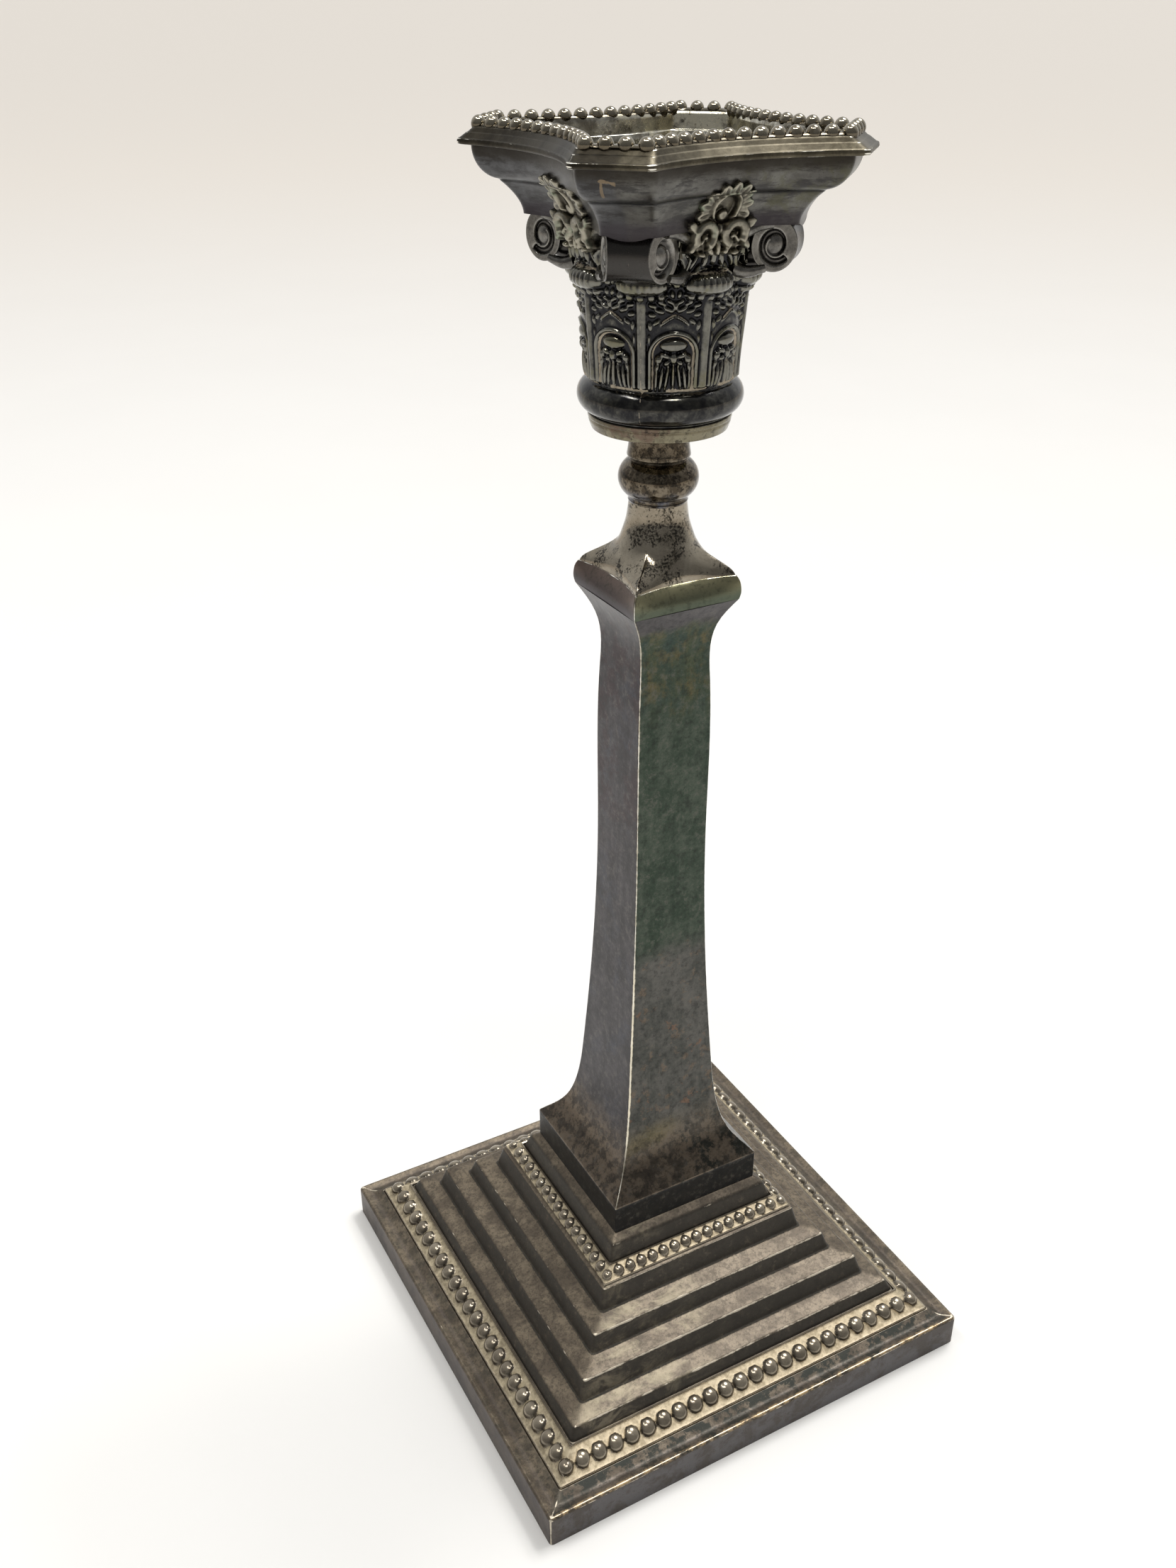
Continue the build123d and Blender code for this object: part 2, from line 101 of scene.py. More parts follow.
def softened(outline, radius, steps=5):
    """The outline with every corner P rounded, and how far each point stands out or lies in.

    Between A and B, a radius before and after P, the curve is (1-t)^2 A + 2t(1-t) P + t^2 B, with one more
    point on each flat beside it. The second result is the sine of the turn times sin(pi t): positive on an
    outside edge, negative in an inside corner, and 0 on the flats."""
    points = np.asarray(outline, float)
    ahead = np.diff(points, axis=0)
    length = np.linalg.norm(ahead, axis=1)
    way = ahead / length[:, None]
    reach = np.minimum(radius, 0.4 * np.minimum(length[:-1], length[1:]))[:, None, None]
    corner = points[1:-1, None]
    back, forth = way[:-1, None] * reach, way[1:, None] * reach
    t = np.linspace(0, 1, steps)[None, :, None]
    curve = (1 - t) ** 2 * (corner - back) + 2 * t * (1 - t) * corner + t ** 2 * (corner + forth)
    rows = np.concatenate([corner - 1.2 * back, curve, corner + 1.2 * forth], axis=1).reshape(-1, 2)
    turn = way[:-1, 0] * way[1:, 1] - way[:-1, 1] * way[1:, 0]
    swell = np.concatenate([[0], np.sin(math.pi * t.ravel()), [0]])
    stand = (turn[:, None] * swell[None]).ravel()
    return np.vstack([points[:1], rows, points[-1:]]), np.concatenate([[0], stand, [0]])


def four_turns(quarter):
    """A quarter of a level outline, and the same quarter turned by 90, 180 and 270 degrees."""
    x, y = quarter[..., 0], quarter[..., 1]
    sides = [quarter, np.stack([-y, x], -1), np.stack([-x, -y], -1), np.stack([y, -x], -1)]
    return np.concatenate(sides, axis=1)


def square_plan(half, bow, soft, along=13, steps=7):
    """Level outlines, one row for each half-width: x = s (half - soft), y = -half + bow (1 - s^2) along a
    side, then a rounded corner of the given softness. The side's points crowd towards its ends."""
    half = np.asarray(half, float)[:, None]
    bow = np.broadcast_to(np.asarray(bow, float), half.shape[:1])[:, None]
    soft = np.broadcast_to(np.asarray(soft, float), half.shape[:1])[:, None]
    s = np.sin(0.5 * math.pi * np.linspace(-1, 1, along))[None]
    t = np.linspace(0, 1, steps + 2)[None, 1:-1]
    reach = half - soft
    side = np.stack([s * reach, bow * (1 - s ** 2) - half], -1)
    inward = (1 - t) ** 2 * soft
    outward = t ** 2 * soft
    corner = np.stack([half - inward, outward - half], -1)
    return four_turns(np.concatenate([side, corner], axis=1))


def corner_marks(along=13, steps=7):
    """1 in the middle of each rounded corner of a square plan, fading to 0 on its sides."""
    quarter = np.concatenate([np.zeros(along), np.sin(math.pi * np.linspace(0, 1, steps + 2)[1:-1])])
    return np.tile(quarter, 4)


def upright_share(outline):
    """How upright the outline is at each point: |rise| over the length of the run there."""
    run = np.gradient(np.asarray(outline), axis=0)
    return np.abs(run[:, 1]) / np.maximum(np.linalg.norm(run, axis=1), 1e-9)


def add_height(plan, height):
    """Rows of level outlines given their heights, as points in space."""
    heights = np.broadcast_to(np.asarray(height, float)[:, None], plan.shape[:2])
    return np.concatenate([plan, heights[..., None]], axis=-1)


def surface(name, sheets, marks=None, crease=38):
    """A closed piece made of sheets of rings, in millimetres.

    A sheet is (rings, joined): rings[r, c] is point c of ring r, and every ring closes on itself. The last
    ring joins the first when joined is true, and otherwise each end ring is capped. A sheet whose volume,
    the sum of a.(b x c)/6 over its triangles and caps with its middle as the origin, is negative is turned
    right side out. Marks are arrays of one number a point, or lists of them for the sheets in turn. Faces
    that meet at more than the crease, in degrees, have a sharp edge."""
    places, faces, start = [], [], 0
    for rings, joined in sheets:
        count, width = rings.shape[:2]
        index = start + np.arange(count * width).reshape(count, width)
        low = index if joined else index[:-1]
        high = np.roll(index, -1, axis=0) if joined else index[1:]
        quads = np.stack([low, np.roll(low, -1, 1), np.roll(high, -1, 1), high], -1).reshape(-1, 4)
        flat = rings.reshape(-1, 3)
        centred = flat - flat.mean(axis=0)
        a, b, c, d = (centred[quads[:, k] - start] for k in range(4))
        volume = (a * np.cross(b, c)).sum() + (a * np.cross(c, d)).sum()
        for ring, sign in () if joined else ((centred[:width], -1), (centred[-width:], 1)):
            volume += sign * ring[0] @ np.cross(ring, np.roll(ring, -1, 0)).sum(axis=0)
        caps = [] if joined else [index[0][::-1].tolist(), index[-1].tolist()]
        made = quads.tolist() + caps
        if volume < 0:
            made = [face[::-1] for face in made]
        faces += made
        places.append(flat)
        start += count * width
    mesh = bpy.data.meshes.new(name)
    mesh.from_pydata(np.concatenate(places) * MM, [], faces)
    for label in ("wear", "grime", "upright"):
        rows = (marks or {}).get(label, np.zeros(start))
        values = np.concatenate([np.ravel(row) for row in rows]) if isinstance(rows, list) else np.ravel(rows)
        mark = mesh.attributes.new(label, "FLOAT", "POINT")
        mark.data.foreach_set("value", values.astype(np.float32))
    mesh.shade_smooth()
    mesh.set_sharp_from_angle(angle=math.radians(crease))
    piece = bpy.data.objects.new(name, mesh)
    bpy.context.scene.collection.objects.link(piece)
    return piece


class Wire:
    """A value inside a material: arithmetic on it adds Math nodes."""

    def __init__(self, socket):
        self.socket = socket

    def maths(self, operation, first, second=0.0):
        node = self.socket.id_data.nodes.new("ShaderNodeMath")
        node.operation = operation
        connect(first, node.inputs[0])
        connect(second, node.inputs[1])
        return Wire(node.outputs[0])

    def __add__(self, other):
        return self.maths("ADD", self, other)

    def __sub__(self, other):
        return self.maths("SUBTRACT", self, other)

    def __rsub__(self, other):
        return self.maths("SUBTRACT", other, self)

    def __mul__(self, other):
        return self.maths("MULTIPLY", self, other)

    def __abs__(self):
        return self.maths("ABSOLUTE", self)

    def larger(self, other):
        return self.maths("MAXIMUM", self, other)

    def smaller(self, other):
        return self.maths("MINIMUM", self, other)

    __radd__ = __add__
    __rmul__ = __mul__


def connect(value, socket):
    """Links a wire to the socket, or sets the socket to a plain number or colour."""
    if isinstance(value, Wire):
        socket.id_data.links.new(value.socket, socket)
    else:
        socket.default_value = value


class Finish:
    """A material while it is being made."""

    def __init__(self, name):
        self.material = bpy.data.materials.new(name)
        self.material.use_nodes = True
        self.tree = self.material.node_tree
        self.shader = self.tree.nodes["Principled BSDF"]
        self.place = self.node("ShaderNodeTexCoord", output="Object")

    def node(self, kind, settings=(), values=(), output=0):
        """Adds a node of that type, with its settings and the values or wires of its sockets."""
        node = self.tree.nodes.new(kind)
        for key, setting in dict(settings).items():
            if key == "stops":
                ramp = node.color_ramp.elements
                while len(ramp) < len(setting):
                    ramp.new(0.5)
                for stop, (spot, colour) in zip(ramp, setting):
                    stop.position, stop.color = spot, (*colour, 1)
            else:
                setattr(node, key, setting)
        for key, value in dict(values).items():
            connect(value, node.inputs[key])
        return Wire(node.outputs[output])

    def mark(self, label):
        """A number that the mesh carries at its points."""
        return self.node("ShaderNodeAttribute", {"attribute_name": label}, output="Fac")

    def stretched(self, scale):
        """The place on the piece, stretched by a factor along each axis."""
        return self.node("ShaderNodeMapping", {}, {"Vector": self.place, "Scale": scale})

    def clouds(self, size_mm, detail=4.0, rough=0.6, warp=0.0, place=None):
        """Noise from 0 to 1 whose lumps are about the given size."""
        values = {"Vector": place or self.place, "Scale": 1 / (size_mm * MM), "Detail": detail,
                  "Roughness": rough, "Distortion": warp}
        return self.node("ShaderNodeTexNoise", {}, values)

    def step(self, value, low, high):
        """0 below low, 1 above high and smooth between."""
        values = {"Value": value, "From Min": low, "From Max": high}
        return self.node("ShaderNodeMapRange", {"interpolation_type": "SMOOTHSTEP"}, values)

    def axis(self, name):
        """One coordinate of the place on the piece, in metres."""
        return self.node("ShaderNodeSeparateXYZ", {}, {"Vector": self.place}, output=name)

    def blend(self, share, first, second):
        """The first colour where the share is 0 and the second where it is 1."""
        colours = [c if isinstance(c, Wire) else (*c, 1) for c in (first, second)]
        values = {0: share, 6: colours[0], 7: colours[1]}
        return self.node("ShaderNodeMix", {"data_type": "RGBA"}, values, output=2)

    def fade(self, field, low, high, first, second, most=1.0):
        """The first colour where the field is below low, and the second, or that share of it, above high."""
        share = self.step(field, low, high)
        return self.blend(share if most == 1 else share * most, first, second)

    def bump(self, height, distance_mm, strength=1.0):
        """Surface direction tilted by a height field."""
        values = {"Height": height, "Distance": distance_mm * MM, "Strength": strength}
        return self.node("ShaderNodeBump", {}, values)

    def finish(self, **sockets):
        """Sets the shader's sockets, named with underscores, and gives back the material."""
        for name, value in sockets.items():
            socket = self.shader.inputs[name.replace("_", " ").title().replace("Ior", "IOR")]
            connect((*value, 1) if isinstance(value, tuple) and len(value) == 3 else value, socket)
        return self.material


def aged(finish, colour, bare=(0.80, 0.76, 0.66), residue=(0.52, 0.46, 0.36), rub=0.1, pits=0.6, gloss=0.3,
         grit=1.0, metal=0.96):
    """Finishes a film of tarnish the way every piece of the plate has aged.

    Black pits dot it, the marked edges are rubbed to bare metal where a scuff pattern lets them, and dried
    polish lies in the marked hollows: it is rough and not metallic. Rub widens the bare edges, gloss is the
    roughness of the cleanest film, grit the depth of the fine relief, and metal how metallic the film is."""
    spots = finish.step(finish.clouds(0.5, 5, 0.75), 0.60, 0.67)
    colour = finish.blend(spots * pits, colour, (0.02, 0.02, 0.02))
    worn = finish.step(finish.mark("wear") + 1.3 * finish.clouds(3.5, 6, 0.7), 1.6 - rub, 1.75 - rub)
    colour = finish.blend(worn, colour, bare)
    dried = finish.step(finish.mark("grime") + 0.9 * finish.clouds(1.2, 6, 0.75), 0.95, 1.12)
    colour = finish.blend(dried, colour, residue)
    roughness = gloss + 0.13 * finish.clouds(3.5, 5, 0.62) + 0.10 * spots + 0.4 * dried - 0.06 * worn
    relief = 0.4 * finish.clouds(0.35, 4, 0.7) + finish.clouds(2.2, 4, 0.6) + 0.8 * dried
    return finish.finish(base_color=colour, roughness=roughness, metallic=metal - 0.9 * metal * dried,
                         normal=finish.bump(relief, 0.05 * grit, 0.5))


# Pairs of a half-width and how soft the upright corners are there.
SOFT_CORNERS = (
    (15.0, 0.6), (21.0, 0.8), (28.0, 1.1), (46.0, 1.2), (47.5, 0.7), (52.5, 0.7), (55.5, 1.0), (58.0, 1.1),
)
# The arrises on the sides that face -Y get the stronger mark: partly wear and partly a painted highlight.
FRONT_ARRIS_WEAR_AND_HIGHLIGHT, DULL_ARRIS = 1.15, 0.82
SIDE_POINTS, CORNER_POINTS = 21, 9
base_outer, base_stand = softened(base_outline(), 0.6, 7)
base_inner = np.asarray(base_outline(SHEET))[::-1]
base_profile = np.vstack([base_outer, base_inner])
corner_soft = np.interp(base_profile[:, 0], *zip(*SOFT_CORNERS))
base_plan = square_plan(base_profile[:, 0], 0.0, corner_soft, SIDE_POINTS, CORNER_POINTS)
base_rings = add_height(base_plan, base_profile[:, 1])
unseen = np.zeros(len(base_inner))
stand = np.concatenate([base_stand, unseen])[:, None] + np.zeros(base_rings.shape[1])
outside = np.concatenate([np.ones(len(base_outer)), unseen])
on_lip = np.clip((base_profile[:, 0] - 52.5) / 1.5, 0.2, 1.0) * outside
corners = corner_marks(SIDE_POINTS, CORNER_POINTS)[None] ** 3 * on_lip[:, None]
# Stronger rubbed lines on the sides that face -Y, partly a painted highlight.
faces_front = -base_plan[..., 1] > np.abs(base_plan[..., 0])
bright = np.where(faces_front, FRONT_ARRIS_WEAR_AND_HIGHLIGHT, DULL_ARRIS)
base_marks = {
    "wear": np.clip(np.maximum(stand, 0) * bright + corners, 0, FRONT_ARRIS_WEAR_AND_HIGHLIGHT),
    # The inside corners of the steps are darker.
    "grime": np.clip(-stand, 0, 1) * 0.75,
    "upright": np.broadcast_to(upright_share(base_profile)[:, None], base_rings.shape[:2]),
}
base = surface("stepped_base", [(base_rings, True)], base_marks)


def base_film():
    """Brown on the treads, near black on the risers and slate on the lip: the risers' black is partly tarnish
    and partly a painted dark reflection. The side that faces -Y is paler beside the front corner, where
    polish has smeared, and has black patches and a gilt line along its shelf."""
    finish = Finish("base_silver")
    x, y, z = finish.axis("X"), finish.axis("Y"), finish.axis("Z")
    reach = abs(x).larger(abs(y))
    fuzz = 0.004 * finish.clouds(8, 5, 0.7)
    bright_side = finish.step(0 - y - abs(x) + fuzz, -0.0015, 0.0065)
    mottle = finish.clouds(6, 8, 0.7, 0.3)
    fine = finish.clouds(0.9, 7, 0.78)
    olive = finish.fade(mottle, 0.38, 0.60, (0.180, 0.146, 0.104), (0.098, 0.078, 0.057))
    brown = finish.fade(mottle, 0.40, 0.62, (0.155, 0.127, 0.096), (0.082, 0.066, 0.050))
    colour = finish.blend(bright_side, olive, brown)
    colour = finish.fade(fine, 0.46, 0.60, colour, (0.048, 0.040, 0.030), 0.65)
    left_part = 1 - finish.step(x + 0.012 * mottle, -0.012, 0.010)
    smear_field = finish.step(finish.clouds(5, 6, 0.66, 0.6, finish.stretched((0.5, 1.0, 1.0))), 0.45, 0.62)
    smear = smear_field * bright_side * left_part * finish.step(z, 0.0125, 0.0140)
    colour = finish.blend(smear * 0.62, colour, (0.27, 0.235, 0.165))
    # Risers are near black: partly tarnish and partly a painted dark reflection of the room in front.
    upright = finish.mark("upright")
    riser = finish.step(upright, 0.5, 0.9) * finish.step(z, 0.0125, 0.0135)
    smudge = finish.step(finish.clouds(2.5, 7, 0.72), 0.55, 0.64) * 0.35
    wiped = smear_field * bright_side * (1 - finish.step(x, -0.036, 0.004)) * 0.6
    colour = finish.blend(riser * (0.85 - smudge) * (1 - wiped), colour, (0.034, 0.031, 0.026))
    lip = 1 - finish.step(z, 0.0078, 0.0086)
    slate = finish.fade(mottle, 0.42, 0.58, (0.098, 0.092, 0.094), (0.066, 0.056, 0.050))
    umber = finish.fade(mottle, 0.40, 0.60, (0.110, 0.090, 0.076), (0.072, 0.060, 0.055))
    colour = finish.blend(lip, colour, finish.blend(bright_side, umber, slate))
    shelf = finish.step(reach, 0.0519, 0.0523) * (1 - lip)
    patch = finish.step(finish.clouds(4.5, 8, 0.72) - 22 * (reach - 0.0535), 0.46, 0.53)
    colour = finish.blend(shelf * patch * (0.35 + 0.6 * bright_side), colour, (0.026, 0.029, 0.025))
    gold_line = finish.step(abs(reach - 0.0567), 0.0, 0.0009)
    gold = (1 - gold_line) * bright_side * finish.step(finish.clouds(2.2, 7, 0.75), 0.44, 0.60)
    colour = finish.blend(gold * finish.step(z, 0.0080, 0.0086) * 0.8, colour, (0.80, 0.58, 0.32))
    return aged(finish, colour, (0.56, 0.50, 0.40), (0.035, 0.031, 0.024), rub=0.16, pits=0.7, gloss=0.40,
                grit=2.4, metal=0.68)


base.data.materials.append(base_film())
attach(base, "stick")
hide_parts("base_shell")


# ---------------------------------------------------------------- rows of beads on the base
# Two strips of thin plate rolled with oval beads and soldered into channels that run round the base. The
# beads are grey-brown with rubbed crowns, and dried polish lies between them.

LOW_BEADS, LOW_BEAD_HALF, LOW_BEAD_RISE = 24, (2.0, 2.15), 1.4
HIGH_BEADS, HIGH_BEAD_HALF, HIGH_BEAD_RISE = 17, (1.36, 1.42), 0.95
CORNER_BEAD = 0.88


def averaged(field, passes):
    """The field after each point is repeatedly replaced by the mean of itself and its four neighbours."""
    for _ in range(passes):
        rows = np.concatenate([field[:1], field, field[-1:]])
        cols = np.concatenate([field[:, :1], field, field[:, -1:]], axis=1)
        field = (field + rows[:-2] + rows[2:] + cols[:, :-2] + cols[:, 2:]) / 5
    return field


def ridge(distance, width):
    """1 on a line and falling to 0 at the given distance from it, as a cosine."""
    return 0.5 + 0.5 * np.cos(math.pi * np.clip(np.abs(distance) / width, 0, 1))


def bead_strip(outer, inner, foot, head, beads, bead_half, bead_rise, per_bead=14, across=25):
    """Rings of a bead strip that runs round the square, and its marks.

    A ring crosses the strip at one place on the path. At a distance dx along and dy across from a bead's
    middle the bead stands up by rise sqrt(1 - (dx/a)^2 - (dy/b)^2), and a raised fillet runs along each
    edge of the strip. The corner beads are round. The mitre keeps x = s times the half-width. The marks are
    the rubbed crowns, the polish between the beads, and as the upright mark the dark line round each bead."""
    mid = (outer + inner) / 2
    pitch = 2 * mid / (beads - 1)
    s = np.linspace(-1, 1, (beads - 1) * per_bead + 1)[:-1][:, None]
    w = np.linspace(-1, 1, across)[None]
    half = mid - w * (outer - inner) / 2
    slope = math.hypot(outer - inner, head - foot)
    along = s * half
    number = np.round((s * mid + mid) / pitch)
    at_corner = (number == 0) | (number == beads - 1)
    dx = np.where(at_corner, np.abs(along) - mid, along - (number * pitch - mid))
    dy = w * slope / 2
    length, width = bead_half
    reach = np.where(at_corner, width * CORNER_BEAD, width)
    span = np.where(at_corner, width * CORNER_BEAD, length)
    bead = bead_rise * np.sqrt(np.clip(1 - (dx / span) ** 2 - (dy / reach) ** 2, 0, 1))
    edge = 0.75 * STRIP * ridge(np.abs(w) - 0.92, 0.09)
    lift = np.maximum(bead, edge + 0 * bead)
    rise, lean = (outer - inner) / slope, (head - foot) / slope
    top_half = half + lean * lift
    top_z = foot + (w + 1) / 2 * (head - foot) + STRIP * 0.8 + rise * lift
    top = np.stack([along + 0 * top_half, -top_half + 0 * along, top_z + 0 * along], -1)
    under = np.stack([along[:, ::-8], -half[:, ::-8] + 0 * along[:, ::-8],
                      foot + (w[:, ::-8] + 1) / 2 * (head - foot) + 0 * along[:, ::-8]], -1)
    side = np.concatenate([top, under], axis=1)
    hollow = averaged(np.where((bead < 0.12 * bead_rise) & (np.abs(w) < 0.86), 1.0, 0.0), 1)
    back = np.zeros(under.shape[:2])
    crest = np.clip(bead / bead_rise, 0, 1) ** 6 * 0.7
    rim = np.clip(1.4 - np.abs(bead / bead_rise - 0.35) / 0.3, 0, 1) * (bead > 0)
    x, y, z = side[..., 0], side[..., 1], side[..., 2]
    quarters = ((1, 0), (0, 1), (-1, 0), (0, -1))
    turns = [np.stack([x * c - y * d, x * d + y * c, z], -1) for c, d in quarters]
    marks = {"wear": np.tile(np.concatenate([crest, back], 1), (4, 1)),
             "grime": np.tile(np.concatenate([hollow, back], 1), (4, 1)),
             "upright": np.tile(np.concatenate([rim, back], 1), (4, 1))}
    return np.concatenate(turns), marks


low_rings, low_marks = bead_strip(
    LOW_OUTER, LOW_INNER, LOW_FOOT, LOW_HEAD, LOW_BEADS, LOW_BEAD_HALF, LOW_BEAD_RISE)
high_rings, high_marks = bead_strip(
    HIGH_OUTER, HIGH_INNER, HIGH_FOOT, HIGH_HEAD, HIGH_BEADS, HIGH_BEAD_HALF, HIGH_BEAD_RISE,
    per_bead=12, across=19)
low_beads = surface("lower_row_of_beads", [(low_rings, True)], low_marks, 60)
high_beads = surface("upper_row_of_beads", [(high_rings, True)], high_marks, 60)


def bead_film():
    """Grey-brown beads with a dark line round each. The dirty polish between them is cream on the side that
    faces -Y; elsewhere it is the same cream at about half the brightness, which is painted shade."""
    finish = Finish("bead_silver")
    bright_side = finish.step(0 - finish.axis("Y") - abs(finish.axis("X")), -0.001, 0.003)
    drift = finish.step(finish.clouds(5, 6, 0.66), 0.40, 0.60)
    colour = finish.blend(drift, (0.300, 0.260, 0.200), (0.200, 0.170, 0.130))
    colour = finish.blend(finish.mark("upright") * 0.8, colour, (0.035, 0.030, 0.024))
    dirt = finish.step(finish.clouds(1.5, 6, 0.75), 0.36, 0.62)
    # Chalk is the pale cream at about half its brightness: painted shade on the sides away from -Y.
    chalk = finish.blend(dirt, (0.19, 0.155, 0.10), (0.40, 0.34, 0.23))
    pale = finish.blend(dirt, (0.40, 0.325, 0.21), (0.72, 0.61, 0.43))
    residue = finish.blend(bright_side, chalk, pale)
    return aged(finish, colour, (0.55, 0.52, 0.44), residue, rub=0.1, gloss=0.12, metal=0.75)


bead_silver = bead_film()
for piece, node in ((low_beads, "lower_bead_band"), (high_beads, "upper_bead_band")):
    piece.data.materials.append(bead_silver)
    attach(piece, "stick")
    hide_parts(node)


# ---------------------------------------------------------------- column
# Two sheets bent to an L and soldered up the front and back corners: a low plinth, a flared foot and a long
# tapered shaft. The tarnish runs from violet grey to dark green, and the corners are rubbed to a bright
# line.

column_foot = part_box("column_left_half")[0].z / MM
column_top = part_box("column_left_half")[1].z / MM
PLINTH_TOP = 50.0
# Pairs of the half-width and the height.
TAPER = (
    (PLINTH_HALF, PLINTH_TOP), (15.3, 55.0), (12.7, 62.5), (11.3, 75.0), (9.6, 104.0), (8.7, 140.0),
    (8.4, 176.0), (9.2, 188.0), (12.1, column_top),
)


def flowing(points, count):
    """Points along the smooth curve through the given ones.

    Each coordinate is a cubic in the chord length t between knots, with equal slope and curvature where two
    cubics meet and none of either at the ends: the second derivatives m solve
    h0 m0 + 2 (h0 + h1) m1 + h1 m2 = 6 (d1 - d0), where h is a knot's spacing and d its slope."""
    knots = np.asarray(points, float)
    h = np.linalg.norm(np.diff(knots, axis=0), axis=1)
    t = np.concatenate([[0], np.cumsum(h)])
    slope = np.diff(knots, axis=0) / h[:, None]
    size = len(knots)
    system = np.eye(size)
    inside = np.arange(1, size - 1)
    system[inside, inside - 1], system[inside, inside + 1] = h[:-1], h[1:]
    system[inside, inside] = 2 * (h[:-1] + h[1:])
    right = np.zeros_like(knots)
    right[1:-1] = 6 * np.diff(slope, axis=0)
    m = np.linalg.solve(system, right)
    where = np.linspace(0, t[-1], count)
    k = np.clip(np.searchsorted(t, where, side="right") - 1, 0, size - 2)
    u, step = (where - t[k])[:, None], h[k][:, None]
    bend = (m[k + 1] - m[k]) / (6 * step)
    return knots[k] + u * (slope[k] - step * (2 * m[k] + m[k + 1]) / 6) + u ** 2 * m[k] / 2 + u ** 3 * bend


def half_outline(plan, left, along, steps):
    """The half of each level outline that runs from the front corner to the back one, by the left or
    right."""
    quarter = along + steps
    seam = quarter * 4 - (steps + 1) // 2
    order = (np.arange(2 * quarter + 1) + seam + (2 * quarter if left else 0)) % (4 * quarter)
    return plan[:, order]


def column_skin(left):
    """Rings and marks of one half of the column, with its thickness."""
    shaft = flowing(TAPER, 90)
    plinth = [(PLINTH_HALF, column_foot), (PLINTH_HALF, PLINTH_TOP - 1.2)]
    arris = [(PLINTH_HALF, PLINTH_TOP - 0.3), (PLINTH_HALF - 0.1, PLINTH_TOP - 0.08)]
    profile = np.vstack([plinth, arris, shaft[1:]])
    along, steps = 13, 7
    soft = np.full(len(profile), 0.3)
    outside = half_outline(square_plan(profile[:, 0], 0, soft, along, steps), left, along, steps)
    inside = half_outline(square_plan(profile[:, 0] - SHEET, 0, soft, along, steps), left, along, steps)
    loop = np.concatenate([outside, inside[:, ::-1]], axis=1)
    rings = add_height(loop, profile[:, 1])
    marks = corner_marks(along, steps)[None, :, None] + np.zeros((len(profile), 1, 1))
    corner = half_outline(marks, left, along, steps)[..., 0]
    above = np.clip((profile[:, 1] - PLINTH_TOP + 1.5) / 1.5, 0.35, 1)[:, None]
    wear = np.concatenate([np.clip(corner ** 2 * above, 0, 1), 0 * corner], axis=1)
    return rings, {"wear": wear}


